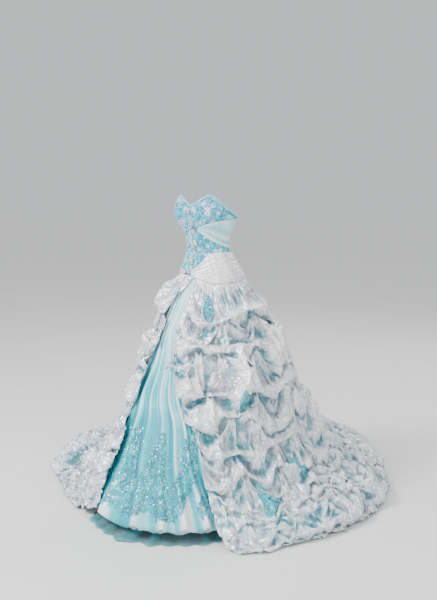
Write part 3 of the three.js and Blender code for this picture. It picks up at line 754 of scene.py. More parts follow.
def laceField(x, y, motifs):
    # depth inside the nearest motif, in metres: petals r(angle), and three leaves round each flower
    best = np.full(x.shape, -1.0)
    tint = np.zeros(x.shape)
    for cx, cy, size, turn, petals, color in motifs:
        dx, dy = x - cx, y - cy
        near = (np.abs(dx) < 2.4 * size) & (np.abs(dy) < 2.4 * size)
        dx, dy = dx[near], dy[near]
        distance = np.hypot(dx, dy)
        angle = np.arctan2(dy, dx)
        petal = size * (0.50 + 0.50 * np.abs(np.cos(petals * (angle - turn) / 2)) ** 0.7) - distance
        petal = np.where(distance < 0.16 * size, 0.16 * size - distance * 0.5, petal)
        petal = np.where((distance > 0.17 * size) & (distance < 0.27 * size), -0.0003, petal)
        field, shade = petal, np.full(dx.shape, color)
        for k in range(3):
            lean = turn + 2.1 * k
            reach = 1.45 * size
            along = dx * np.cos(lean) + dy * np.sin(lean) - reach
            aside = -dx * np.sin(lean) + dy * np.cos(lean) - 0.25 * along**2 / size
            leaf = 0.26 * size * (1 - (along / (0.62 * size)) ** 2) - np.abs(aside)
            leaf = np.where(np.abs(aside) < 0.0005, np.minimum(leaf, 0.0004), leaf)
            shade = np.where(leaf > field, (color * 0.45) % 1.0, shade)
            field = np.maximum(field, leaf)
        better = field > best[near]
        spot = best[near]
        spot[better] = field[better]
        best[near] = spot
        spot = tint[near]
        spot[better] = shade[better]
        tint[near] = spot
    return best, tint


def laceRelief(field, height):
    # a corded edge round each motif, and a lower padded middle
    return height * (bell(field, 0.0012, 0.0009) + 0.45 * smoothStep(field, 0, 0.003))


beadTemplate = np.array([[0, 0, 1], [1, 0, 0.25], [0.31, 0.95, 0.25], [-0.81, 0.59, 0.25],
                         [-0.81, -0.59, 0.25], [0.31, -0.95, 0.25], [0, 0, -0.4]])
beadFaces = [[0, k, k % 5 + 1] for k in range(1, 6)] + [[6, k % 5 + 1, k] for k in range(1, 6)]


def sewBeads(name, points, row, column, size, material, tints, flatness=0.8, seed=3):
    # a faceted bead on each chosen cell of a grid, turned and tipped a little at random
    draw = np.random.default_rng(seed)
    place, normal, across = frameAt(points, row, column)
    count = len(place)
    normal = normal + draw.normal(0, 0.22, normal.shape)
    normal = normal / np.linalg.norm(normal, axis=-1, keepdims=True)
    across = np.cross(normal, np.cross(across, normal))
    across = across / np.linalg.norm(across, axis=-1, keepdims=True)
    side = np.cross(normal, across)
    turn = draw.uniform(0, 2 * np.pi, count)[:, None]
    first = across * np.cos(turn) + side * np.sin(turn)
    second = side * np.cos(turn) - across * np.sin(turn)
    scale = (size * draw.uniform(0.7, 1.3, count))[:, None]
    axes = np.stack([first * scale, second * scale, normal * scale * flatness], 1)
    places = place + normal * scale * 0.3 * flatness
    values = {"tint": draw.choice(tints, count)}
    return repeated(name, beadTemplate, beadFaces, places, axes, material, values)


backOpening = 178.4  # what goes round the bodice stops at the zip, at this azimuth on either side
bodice = {
    "rows": 50, "step": 2.0, "wall": 0.0016, "lift": 0.0016, "seamGap": 0.0003, "sideGap": 0.08,
    "seamDepth": 0.0009, "seamWidth": 1.1, "boning": 0.0008, "boningWidth": 1.5, "dragLines": 0.0006,
    "panels": {
        "back_right": (-backOpening, -140), "side_back_right": (-140, -90), "side_front_right": (-90, -40),
        "centre_front": (-40, 40), "side_front_left": (40, 90), "side_back_left": (90, 140),
        "back_left": (140, backOpening),
    },
}


def bodicePoints(azimuth, v):
    z = mix(edgeAt(azimuth, "seam") + bodice["seamGap"], edgeAt(azimuth, "neck"), v)
    return polar(azimuth, bodyRadius(azimuth, z), z)


def buildBodice():
    for name, (start, stop) in bodice["panels"].items():
        u, v = gridOf(int((stop - start) / bodice["step"]), bodice["rows"])
        azimuth = mix(start + bodice["sideGap"], stop - bodice["sideGap"], u)
        points = bodicePoints(azimuth, v)
        # seams sink between panels, a boning channel stands down the middle, drag lines run across
        fromSeam = np.minimum(u, 1 - u) * (stop - start)
        sunk = -bodice["seamDepth"] * bell(fromSeam, 0, bodice["seamWidth"])
        boning = bodice["boning"] * bell((u - 0.5) * (stop - start), 0, bodice["boningWidth"])
        atWaist = 1 - smoothStep(np.abs(points[..., 2]), 0.03, 0.09)
        drag = bodice["dragLines"] * wander(u * 0.4, v, 7, 5) * atWaist
        points = raised(points, bodice["lift"] + sunk + boning + drag)
        item = makeShell(f"satin_{name}", points, bodice["wall"], bodiceSatin)
        standFor(f"bodice_{name}")
        declareCut(points)
    print("bodice done")


bodiceLaceWork = {
    "half": 90, "columns": 226, "rows": 142, "lift": 0.0024, "wall": 0.0010, "radius": 0.115,
    "height": 0.37, "lowest": -0.18, "edging": 0.012, "spacing": 0.0176, "flower": 0.0098,
    "relief": 0.0012, "beads": 1400, "beadSize": 0.0015, "whiteThread": 0.60,
}


def buildBodiceLace():
    w = bodiceLaceWork
    u, v = gridOf(w["columns"], w["rows"])
    azimuth = mix(-w["half"], w["half"], u)
    points = bodicePoints(azimuth, v)
    width = 2 * math.radians(w["half"]) * w["radius"]
    tints = [0.05, 0.2, 0.3, 0.42, 0.58, 0.62, 0.8, 1.0]
    motifs = scatterMotifs(width, w["height"], w["spacing"], w["flower"], 4, tints)
    x = np.radians(azimuth) * w["radius"]
    y = points[..., 2] - w["lowest"]
    field, tint = laceField(x, y, motifs)
    points = raised(points, w["lift"] + laceRelief(field, w["relief"]))
    cord = bell(field, 0.0012, 0.0007)  # some motifs have a corded edge in white thread
    tint = mix(tint, w["whiteThread"], cord * np.clip(2 * wander(x * 9, y * 9, 2.0, 9), 0, 0.9))
    keep = (field > 0) | (v < w["edging"]) | (v > 1 - w["edging"])
    item = makeShell("lace_front", points, w["wall"], bodiceLace, {"tint": tint}, keep, inward=False)
    standFor("bodice_lace_front")
    draw = np.random.default_rng(8)
    row = draw.integers(4, w["rows"] - 4, 6 * w["beads"])
    column = draw.integers(4, w["columns"] - 4, 6 * w["beads"])
    onMotif = field[row, column] > 0.001
    row, column = row[onMotif][:w["beads"]], column[onMotif][:w["beads"]]
    beads = sewBeads("lace_front_beads", raised(points, w["wall"]), row, column, w["beadSize"], beadGlass,
                     [0.0, 0.1, 0.4, 0.7, 0.7, 1.0])
    declareCut(points, keep)
    print("bodice lace done")


binding = {
    "columns": 480, "rows": 7, "depth": 0.0075, "lift": 0.0042, "wall": 0.0014, "scallops": 76,
    "reach": 0.0026, "below": 0.0005, "roll": 0.0007, "lobeRoll": 0.0005,
}


def buildBinding():
    # a strip along the neck edge, whose upper edge rises in scallops: a sine to the power 0.6
    u, v = gridOf(binding["columns"], binding["rows"])
    azimuth = mix(-backOpening, backOpening, u)
    neck = edgeAt(azimuth, "neck")
    lobe = np.abs(np.sin(np.pi * binding["scallops"] * u)) ** 0.6
    tall = binding["depth"] - binding["below"] + binding["reach"] * lobe
    z = neck - binding["depth"] + tall * v
    points = polar(azimuth, bodyRadius(azimuth, z), z)
    roll = binding["roll"] * np.sin(np.pi * v) + binding["lobeRoll"] * lobe * np.sin(np.pi * v) ** 2
    points = raised(points, binding["lift"] + roll)
    item = makeShell("neckline_edge", points, binding["wall"], edgeLace, {"tint": 0.3 + 0.7 * v * lobe})
    standFor("neckline_binding")
    declareCut(points)


drape = {
    "azimuth": [10, 30, 60, 85, 110],
    "top": [0.058, 0.072, 0.088, 0.094, 0.095],
    "bottom": [0.042, 0.020, -0.008, -0.026, -0.038],
    "columns": 100, "rows": 54, "lift": 0.0066, "wall": 0.0014, "folds": 4.5, "foldHeight": 0.0024,
    "hemRoll": 0.0024, "creaseDepth": 0.0016,
}


def buildDrape():
    u, v = gridOf(drape["columns"], drape["rows"])
    azimuth = mix(drape["azimuth"][0], drape["azimuth"][-1], u)
    bottom, top = (alongTable(drape, "azimuth", column, azimuth) for column in ("bottom", "top"))
    z = mix(bottom, top, v)
    points = polar(azimuth, bodyRadius(azimuth, z), z)
    # soft folds fan out from the front point; the lower edge is a double fold
    phase = drape["folds"] * (v + 0.25 * u) + 0.5 * wander(u, v, 1.4, 21)
    fold = np.sin(np.pi * phase)
    soft = fold * smoothStep(u, 0.0, 0.3) * (0.4 + 0.4 * wander(u, v, 1.6, 22))
    roll = bell(v, 0.06, 0.045)
    creased = np.abs(wander(u * 1.2, v, 4.5, 23))
    height = drape["foldHeight"] * soft + drape["hemRoll"] * roll
    points = raised(points, drape["lift"] + height - drape["creaseDepth"] * bell(creased, 0, 0.10))
    # painted light: paler on the fold crests and along the rolled lower edge, painted shade in the troughs
    # and along the creases
    tone = 0.58 + 0.45 * soft + 0.5 * roll - 0.22 * bell(creased, 0, 0.12)
    item = makeShell("side_drape", points, drape["wall"], drapeSatin, {"toneAndShading": tone})
    standFor("bodice_drape")
    declareCut(points)


sash = {
    "pieces": {"hip_sash_right": (-backOpening, -40), "hip_sash_left": (-14, backOpening)},
    "rows": 44, "tucks": 6, "lift": 0.0052, "wall": 0.0014, "proud": 0.0042, "crush": 0.0008,
    "overlap": 0.006, "turnedIn": 0.0035,
}


def buildSash():
    for name, (start, stop) in sash["pieces"].items():
        u, v = gridOf(int(stop - start), sash["rows"])
        azimuth = mix(start, stop, u)
        z = mix(edgeAt(azimuth, "seam") - sash["overlap"], edgeAt(azimuth, "sash"), v)
        points = polar(azimuth, bodyRadius(azimuth, z), z)
        # each tuck rises slowly and falls back sharply under the next; they waver and cross a little
        astray = 0.85 * wander(azimuth / 120, v * 0.7, 1.7, 31) + 0.25 * np.sin(azimuth / 23)
        phase = sash["tucks"] * v + astray
        share = phase - np.floor(phase)
        tuck = (share**0.8) * (1 - smoothStep(share, 0.82, 1.0))
        crush = wander(azimuth / 30, v, 3.0, 33)
        ends = smoothStep(np.minimum(v, 1 - v), 0, 0.05)
        height = sash["lift"] - sash["turnedIn"] * (1 - smoothStep(v, 0, 0.07))
        relief = sash["proud"] * tuck * (0.7 + 0.3 * crush) + sash["crush"] * crush
        points = raised(points, height + ends * relief)
        # painted light: each tuck pales towards its crest, and a painted shadow line darkens its sharp fall
        # under the next
        tone = 0.30 - 0.30 * tuck - 0.06 * crush + 0.70 * smoothStep(share, 0.86, 0.99)
        item = makeShell(name.replace("hip_", "tucked_"), points, sash["wall"], sashCloth,
                         {"toneAndShading": np.clip(tone, 0, 0.9)})
        standFor(name)
        declareCut(points)
    print("sash, drape and edge done")


stones = {
    "azimuth": [-6, -4, -6, -10, -18],
    "z": [0.126, 0.075, 0.037, -0.016, -0.088],
    "width": [0.013, 0.015, 0.013, 0.030, 0.016],
    "height": [0.019, 0.017, 0.021, 0.015, 0.018],
    "lift": 0.0070, "depth": 0.0045, "sides": 12, "ringTints": [0.2, 0.3, 0.6, 0.9, 0.7],
    "pearls": 14, "pearlSize": 0.0019, "pearlGap": 0.0022,
}


def buildStones():
    # a step-cut stone: rings of points at growing height and shrinking size, closed by its table
    rings = [(0.0, 0.86), (0.3, 1.0), (0.42, 0.98), (0.75, 0.74), (1.0, 0.5)]
    for index in range(len(stones["z"])):
        azimuth, z = stones["azimuth"][index], stones["z"][index]
        turn = math.radians(azimuth)
        rise = float(bodyRadius(azimuth, z + 0.005) - bodyRadius(azimuth, z - 0.005))
        lean = math.atan2(rise, 0.010)
        out = np.array([math.sin(turn), -math.cos(turn), 0])
        aside = np.array([math.cos(turn), math.sin(turn), 0])
        up = np.array([0, 0, 1.0]) * math.cos(lean) + out * math.sin(lean)
        away = out * math.cos(lean) - np.array([0, 0, 1.0]) * math.sin(lean)
        middle = out * (float(bodyRadius(azimuth, z)) + stones["lift"]) + np.array([0, 0, z])
        half = (stones["width"][index] / 2, stones["height"][index] / 2)
        sides = stones["sides"]
        angle = np.arange(sides) * 2 * math.pi / sides
        around = np.outer(np.cos(angle), aside) * half[0] + np.outer(np.sin(angle), up) * half[1]
        points = [middle + away * stones["depth"] * height + size * around for height, size in rings]
        faces = []
        for r in range(len(rings) - 1):
            faces += [(r * sides + k, r * sides + (k + 1) % sides, (r + 1) * sides + (k + 1) % sides,
                       (r + 1) * sides + k) for k in range(sides)]
        faces.append(tuple(range(sides))[::-1])
        faces.append(tuple(range((len(rings) - 1) * sides, len(rings) * sides)))
        mesh = bpy.data.meshes.new(f"amber_stone_{index + 1}")
        mesh.from_pydata(np.concatenate(points), [], faces)
        storeValues(mesh, {"tint": np.repeat(stones["ringTints"], sides)})
        mesh.materials.append(amberStone)
        item = addObject(f"amber_stone_{index + 1}", mesh)
        standFor(f"front_jewel_{index + 1}")
        # small pale beads sit round the stone like a claw ring
        count = stones["pearls"]
        ring = np.arange(count) * 2 * math.pi / count
        spread = (half[0] + stones["pearlGap"], half[1] + stones["pearlGap"])
        places = middle + np.outer(np.cos(ring), aside) * spread[0] + np.outer(np.sin(ring), up) * spread[1]
        axes = np.repeat(np.stack([aside, up, away])[None] * stones["pearlSize"], count, 0)
        pearls = repeated(f"stone_pearls_{index + 1}", beadTemplate, beadFaces, places, axes, beadGlass,
                          {"tint": np.full(count, 0.7)})


backZip = {
    "half": 1.2, "rows": 120, "lift": 0.0008, "wall": 0.0009, "teeth": 62, "toothLift": 0.0018,
    "tooth": (0.0024, 0.0010, 0.0013), "apart": 0.00088,
}


def buildZip():
    # a tape in two low ridges, and cubes for teeth that lean to either side by turns
    u, v = gridOf(8, backZip["rows"])
    azimuth = mix(180 - backZip["half"], 180 + backZip["half"], u)
    tape = raised(bodicePoints(azimuth, v), backZip["lift"] + 0.0004 * np.sin(np.pi * 2 * u) ** 2)
    item = makeShell("zip_tape", tape, backZip["wall"], zipTape)
    standFor("zip_chain")
    cube = np.array([[x, y, z] for x in (-0.5, 0.5) for y in (-0.5, 0.5) for z in (-0.5, 0.5)])
    cubeFaces = [[0, 1, 3, 2], [4, 6, 7, 5], [0, 4, 5, 1], [2, 3, 7, 6], [0, 2, 6, 4], [1, 5, 7, 3]]
    share = np.linspace(0.01, 0.985, backZip["teeth"])
    side = np.where(np.arange(backZip["teeth"]) % 2 == 0, -0.5, 0.5) * backZip["apart"]
    place = raised(bodicePoints(180 + mix(-0.3, 0.3, u), v), backZip["toothLift"])
    row = (share * backZip["rows"]).astype(int)
    middle, normal, across = frameAt(place, row, np.full(row.shape, 4))
    up = np.cross(normal, across)
    width, height, depth = backZip["tooth"]
    axes = np.stack([across * width, up * height, normal * depth], 1)
    places = middle + across * side[:, None]
    teeth = repeated("zip_teeth", cube, cubeFaces, places, axes, zipMetal)
    for name in ("zip_slider", "zip_bridge", "zip_pull_tab"):
        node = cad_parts[name]
        node.data.materials.clear()
        node.data.materials.append(zipMetal)
    print("stones and zip done")


panel = {
    "columns": 236, "rows": 100, "underRight": 22, "underLeft": 12, "top": -0.150, "hem": -1.076,
    "pleats": 9.0, "wall": 0.0010, "hemLift": 0.013,
}
hemLace = {
    "columns": 300, "rows": 158, "seam": -0.152, "top": -0.64, "full": -0.90, "end": -1.045,
    "lowest": -1.12, "radius": 0.5, "width": 1.1, "height": 0.5, "spacing": 0.0235, "flower": 0.0120,
    "wall": 0.0008, "lift": 0.0010, "relief": 0.0011, "sequins": 1500, "sequinSize": 0.0024,
}


def openingAt(z, side):
    return alongTable(opening, "z", side, z)


def pleatRelief(u, v, count, seed):
    # uneven rounded folds that run from the waist to the hem, some broad and some narrow
    drift = 0.9 * wander(u * 0.9, v * 0.25, 1.3, seed) + 0.10 * wander(u, v, 2.5, seed + 3)
    phase = 2 * np.pi * (count * u + drift)
    ridge = 0.75 * np.cos(phase) + 0.35 * np.cos(2 * phase + 1.1 + 2 * wander(u, v * 0.3, 1.2, seed + 1))
    strength = 0.65 + 0.35 * wander(u * 1.3, v * 0.5, 1.5, seed + 2)
    return ridge * strength + 0.16 * wander(u * 7, v * 0.6, 2.2, seed + 4)


def frontPanelPoints(u, v):
    # the pleated surface, its fold heights, and its azimuths; the hem opens into deep flutes
    height = mix(panel["hem"], panel["top"], v)
    left = openingAt(height, "left") + panel["underLeft"]
    azimuth = mix(openingAt(height, "right") - panel["underRight"], left, u)
    base = conePoints("frontPanel", azimuth, v, panel["hem"])
    ridge = pleatRelief(u, v, panel["pleats"], 41)
    down = 1 - v
    swell = mix(0.002, 0.012, smoothStep(down, 0.02, 0.7)) + 0.016 * smoothStep(down, 0.82, 1.0)
    points = raised(base, (ridge + 0.35 * down) * swell + 0.010 * smoothStep(down, 0.86, 1.0))
    points[..., 2] += panel["hemLift"] * ridge * smoothStep(down, 0.90, 1.0)
    return points, ridge, azimuth


def buildFrontPanel():
    u, v = gridOf(panel["columns"], panel["rows"])
    points, ridge, _ = frontPanelPoints(u, v)
    down = 1 - v
    # pale near the hip and along the hem, with painted highlight on the ridges and painted shade in the
    # folds; a painted shadow darkens the part under the right edge, beneath the overskirt
    tone = 0.44 + 0.40 * ridge
    tone += 0.22 * wander(u * 2.5, v * 0.35, 1.6, 45) + 0.18 * wander(u * 9, v * 0.5, 3, 48)
    tone += 0.20 * (1 - smoothStep(down, 0.3, 0.75)) - 0.10 * smoothStep(down, 0.6, 0.85)
    tone += (0.30 + 0.22 * ridge) * smoothStep(down, 0.90, 0.96)
    tone -= 0.25 * (1 - smoothStep(u, 0.20, 0.28))
    item = makeShell("pleated_net", points, panel["wall"], frontNet, {"toneAndShading": np.clip(tone, 0, 1)})
    standFor("front_panel")
    sequins = buildHemLace()
    declareCut(points, None)
    print("front panel done")


def buildHemLace():
    # flowers and leaves over the lower part, thick near the hem and climbing in patches along the folds
    w = hemLace
    u, v = gridOf(w["columns"], w["rows"])
    low, high = (((w[end] - panel["hem"]) / (w["seam"] - panel["hem"])) ** (1 / form["rowCrowding"])
                 for end in ("end", "top"))
    points, _, azimuth = frontPanelPoints(u, mix(low, high, v))
    x = np.radians(azimuth) * w["radius"]
    z = points[..., 2]
    y = z - w["lowest"]
    tints = [0.1, 0.3, 0.4, 0.6, 0.85]
    motifs = scatterMotifs(w["width"], w["height"], w["spacing"], w["flower"], 14, tints)
    field, tint = laceField(x, y, motifs)
    reach = smoothStep(-z, -w["top"], -w["full"]) * (1 - 0.75 * smoothStep(-z, 1.00, -w["end"]))
    patch = 0.62 + 0.95 * wander(x * 2.8, y * 0.9, 2.6, 44)
    shown = (field > 0) & (patch < reach * 0.95)
    tint = mix(0.8 * tint, 1.0, 0.6 * bell(field, 0.0012, 0.0008))
    laced = raised(points, w["lift"] + laceRelief(field, w["relief"]))
    lace = makeShell("hem_lace", laced, w["wall"], turquoiseLace, {"tint": tint}, shown, inward=False)
    draw = np.random.default_rng(46)
    row = draw.integers(2, w["rows"] - 2, 30 * w["sequins"])
    column = draw.integers(2, w["columns"] - 2, 30 * w["sequins"])
    chance = np.where(shown, 0.8, 0.10 * reach)
    picked = draw.uniform(0, 1, row.shape) < chance[row, column]
    row, column = row[picked][:w["sequins"]], column[picked][:w["sequins"]]
    sequins = sewBeads("hem_sequins", raised(laced, 0.0012), row, column,
                       w["sequinSize"], sequinFoil, [0.1, 0.3, 0.6, 1.0, 1.0], 0.3, 47)
    declareCut(laced, shown)
    return sequins


gores = {"back_right": (-180, -90), "front_right": (-90, 0), "front_left": (0, 90), "back_left": (90, 180)}
underskirt = {
    "hem": -1.088, "wall": 0.0014, "columns": 64, "rows": 40, "sideGap": 0.04, "flutes": 34,
    "hemLift": 0.006,
}
petticoat = {  # width is how far the flare runs out over the floor, between the azimuths from and to
    "start": -1.092, "wall": 0.0008, "from": -36, "to": 47, "soft": 12, "width": 0.066,
    "elsewhere": 0.008, "flareShare": 1 / 6, "columns": 92, "rows": 42, "waves": 24,
    "ruffle": 0.014, "ruffleLift": 0.007,
}


def buildUnderskirt():
    for name, (start, stop) in gores.items():
        u, v = gridOf(underskirt["columns"], underskirt["rows"])
        azimuth = mix(start + underskirt["sideGap"], stop - underskirt["sideGap"], u)
        base = conePoints("underskirt", azimuth, v, underskirt["hem"])
        down = 1 - v
        turn = azimuth / 360
        # uneven flutes: a cosine whose phase drifts three times round the skirt, deeper at the hem
        flute = np.cos(2 * np.pi * (underskirt["flutes"] * turn + 0.35 * np.sin(2 * np.pi * 3 * turn)))
        flare = smoothStep(down, 0.86, 1.0)
        points = raised(base, flute * (0.002 * down + 0.004 * flare) - 0.004 * flare)
        points[..., 2] += underskirt["hemLift"] * flute * smoothStep(down, 0.93, 1.0)
        # painted light: paler on the flutes' crests and darker between them; paler towards the hem
        tone = 0.30 + 0.2 * flute + 0.5 * smoothStep(down, 0.85, 1.0)
        item = makeShell(f"satin_underskirt_{name}", points, underskirt["wall"], hemSatin,
                         {"toneAndShading": np.clip(tone, 0, 1)})
        standFor(f"underskirt_{name}")
        declareCut(points)


def petticoatPoints(azimuth, v):
    # a cone down to the flare, then a curve out over the floor that is widest at the front
    share = petticoat["flareShare"]
    upper = conePoints("petticoat", azimuth, np.clip((v - share) / (1 - share), 0, 1), petticoat["start"])
    out = np.clip(1 - v / share, 0, 1)
    foot = conePoints("petticoat", azimuth, np.zeros_like(v), petticoat["start"])
    rise = smoothStep(azimuth, petticoat["from"], petticoat["from"] + petticoat["soft"])
    fall = 1 - smoothStep(azimuth, petticoat["to"] - petticoat["soft"], petticoat["to"])
    spread = mix(petticoat["elsewhere"], petticoat["width"], rise * fall)
    radius = np.hypot(foot[..., 0], foot[..., 1]) + spread * out**1.3
    lower = polar(azimuth, radius, mix(petticoat["start"], floorHeight, out))
    return np.where((v >= share)[..., None], upper, lower)


def buildPetticoat():
    for name, (start, stop) in gores.items():
        u, v = gridOf(petticoat["columns"], petticoat["rows"])
        v = v**1.5
        azimuth = mix(start, stop, u)
        points = petticoatPoints(azimuth, v)
        down = 1 - v
        # ruffles: uneven waves that push the edge out and lift it off the floor, strongest at the hem
        astray = 1.3 * wander(azimuth / 90, v * 0.2, 2.0, 50)
        wave = np.sin(2 * np.pi * (azimuth / 360 * petticoat["waves"] + astray))
        ruffle = 0.8 * wave + 0.5 * np.sin(azimuth * 0.93 + 2) + 0.8 * wander(azimuth / 40, v * 0.5, 2.0, 51)
        flare = smoothStep(down, 0.78, 1.0)
        points[..., 2] += flare * (0.002 + petticoat["ruffleLift"] * np.clip(ruffle + 1, 0, 2) / 2)
        radial = polar(azimuth, 1, 0)[..., :2]
        points[..., :2] += radial * (ruffle * petticoat["ruffle"] * flare**2)[..., None]
        points[..., 2] = np.maximum(points[..., 2], floorHeight + 0.0012)
        # painted light: paler on the ruffles' crests and darker between them; paler at the very hem
        tone = np.clip(0.30 + 0.26 * ruffle + 0.55 * smoothStep(down, 0.965, 1.0), 0, 1)
        item = makeShell(f"net_petticoat_{name}", points, petticoat["wall"], underNet, {"toneAndShading": tone})
        standFor(f"petticoat_{name}")
        declareCut(points)
    print("underskirt and petticoat done")


overskirt = {
    "rows": 132,
    "columns": {"left_front": 80, "left_side": 62, "back_left": 64, "back_right": 64,
                "right_side": 62, "right_front": 84},
    "seams": {"left_side": 78, "back_left": 126, "back_right": 180, "right_side": 234, "right_front": 282},
    "wall": 0.0014,
    "tackDown": [1.0, 2.05, 3.1, 4.1, 5.05, 5.85, 6.6, 7.35, 8.15],
    "tacks": [9, 11, 12, 13, 14, 17, 21, 26, 31],
    "puffDepth": [0.018, 0.036, 0.044, 0.044, 0.044, 0.042, 0.040, 0.034, 0.026],
    "edgePins": {0: (6, 13), -1: (3, 8)},  # first pinned row and step, down the left and right edges
    "creases": 7,
    "creaseHeight": 0.0034,
    "gatherHeight": 0.0018,
    "boxMargin": 0.012,
    "offFloor": 0.0022,
}
clothFall = {
    "frames": 24, "hoopRows": 45, "hoopColumns": 120, "hoopInside": 0.012, "solidMargin": 0.003,
    "friction": 20,
}
clothFeel = {
    "quality": 5, "mass": 0.12, "air_damping": 3, "tension_stiffness": 12, "compression_stiffness": 12,
    "shear_stiffness": 4, "bending_stiffness": 0.35, "tension_damping": 6, "compression_damping": 6,
    "bending_damping": 0.5, "pin_stiffness": 20, "shrink_min": -0.30,
}
clothTouch = {"distance_min": 0.004, "collision_quality": 2, "use_self_collision": False}


def overskirtAzimuths(down):
    # columns are shared out between the seams; the two front edges follow the opening by height
    height = overskirtBase(np.zeros_like(down[:, 0]), down[:, 0])[..., 2]
    left = openingAt(height, "left")[:, None]
    right = openingAt(height, "right")[:, None] + 360
    stops = [left] + [np.full_like(left, s) for s in overskirt["seams"].values()] + [right]
    parts = []
    for k, count in enumerate(overskirt["columns"].values()):
        share = np.linspace(0, 1, count + 1)[None, (1 if k else 0):]
        parts.append(mix(stops[k], stops[k + 1], share))
    return np.concatenate(parts, 1)


def fromFrontEdges(azimuth):
    # degrees to the nearer of the two front edges
    return np.minimum(azimuth - azimuth[:, :1], azimuth[:, -1:] - azimuth)


def placeTacks():
    # each tier's tacks: even spacing, half a step off the tier above, then moved a little at random
    draw = np.random.default_rng(61)
    tacks = []
    for k, (down, count) in enumerate(zip(overskirt["tackDown"], overskirt["tacks"])):
        spacing = 360 / count
        place = np.arange(count) + 0.5 * (k % 2) + 0.2 + draw.uniform(-0.3, 0.3, count)
        tier = {"down": down, "spacing": spacing, "azimuth": place * spacing}
        tier["offset"] = draw.uniform(-0.30, 0.30, count)
        tier["droop"] = draw.uniform(0.10, 0.50, count)
        tacks.append(tier)
    return tacks


def gathered(azimuth, down, tacks):
    # pulls the cloth towards each tack and lets it droop between them
    moved, lowered = azimuth.copy(), down.copy()
    pinned = np.zeros(azimuth.shape, bool)
    sunk = np.zeros(azimuth.shape)
    inner = smoothStep(fromFrontEdges(azimuth), 0, 9)
    for tier in tacks:
        apart = wrapped(azimuth[..., None] - tier["azimuth"])
        nearest = np.argmin(np.abs(apart), -1)
        gap = np.take_along_axis(apart, nearest[..., None], -1)[..., 0]
        middle = tier["down"] + tier["offset"][nearest]
        x = np.clip(2 * gap / tier["spacing"], -1, 1)
        weight = bell(down, middle, 0.34)
        moved += weight * inner * tier["spacing"] / 2 * (np.sign(x) * np.abs(x) ** 1.9 - x) * 0.8
        lowered += weight * tier["droop"][nearest] * np.abs(x) ** 1.5
        sunk = np.maximum(sunk, bell(down, middle, 0.22) * (1 - 0.75 * np.abs(x) ** 1.2))
        pinned |= (np.abs(gap) < 0.16 * tier["spacing"]) & (np.abs(down - middle) < 0.05)
    return moved, np.clip(lowered, 0, form["allTiers"]), sunk, pinned


def simulateCloth(points, cut, pinned):
    # drops the cut cloth on the skirt's form; it is held at its waist, its tacks and spots of its hem
    mesh = fillMesh("draping", points, gridFaces(points.shape[:2]))
    cloth = bpy.data.objects.new("draping", mesh)
    bpy.context.scene.collection.objects.link(cloth)
    cloth.shape_key_add(name="start")
    key = cloth.shape_key_add(name="cut")
    key.data.foreach_set("co", cut.astype(np.float32).ravel())
    pins = cloth.vertex_groups.new(name="pins")
    pins.add(np.flatnonzero(pinned.ravel()).tolist(), 1.0, "REPLACE")
    hoopDown = np.linspace(0, form["allTiers"], clothFall["hoopRows"] + 1)[::-1]
    hoopTurn = np.linspace(-180, 180, clothFall["hoopColumns"] + 1)
    down, turn = np.meshgrid(hoopDown, hoopTurn, indexing="ij")
    inner = raised(overskirtBase(turn, down), -clothFall["hoopInside"])
    hoop = bpy.data.objects.new("hoop", fillMesh("hoop", inner, gridFaces(down.shape)))
    u, v = gridOf(1, 1)
    ground = np.stack([mix(-2, 2, u), mix(-2, 2, v), np.full(u.shape, floorHeight)], -1)
    level = bpy.data.objects.new("level", fillMesh("level", ground, gridFaces(u.shape)))
    for solid in (hoop, level):
        bpy.context.scene.collection.objects.link(solid)
        solid.modifiers.new("collide", "COLLISION")
        solid.collision.thickness_outer = clothFall["solidMargin"]
        solid.collision.cloth_friction = clothFall["friction"]
    modifier = cloth.modifiers.new("cloth", "CLOTH")
    modifier.settings.vertex_group_mass = "pins"
    modifier.settings.rest_shape_key = key
    for part, numbers in ((modifier.settings, clothFeel), (modifier.collision_settings, clothTouch)):
        for label, number in numbers.items():
            setattr(part, label, number)
    modifier.point_cache.frame_end = clothFall["frames"]
    scene = bpy.context.scene
    scene.frame_end = clothFall["frames"]
    for step in range(1, clothFall["frames"] + 1):
        scene.frame_set(step)
    evaluated = cloth.evaluated_get(bpy.context.evaluated_depsgraph_get())
    result = np.empty(points.size, np.float32)
    evaluated.data.vertices.foreach_get("co", result)
    result = result.reshape(points.shape).astype(float)
    for solid in (cloth, hoop, level):
        bpy.data.objects.remove(solid)
    scene.frame_set(1)
    return result


def eased(points, share, passes):
    # moves each inner point part of the way to the mean of its four neighbours
    for _ in range(passes):
        mean = (points[:-2, 1:-1] + points[2:, 1:-1] + points[1:-1, :-2] + points[1:-1, 2:]) / 4
        points = points.copy()
        points[1:-1, 1:-1] = mix(points[1:-1, 1:-1], mean, share)
    return points


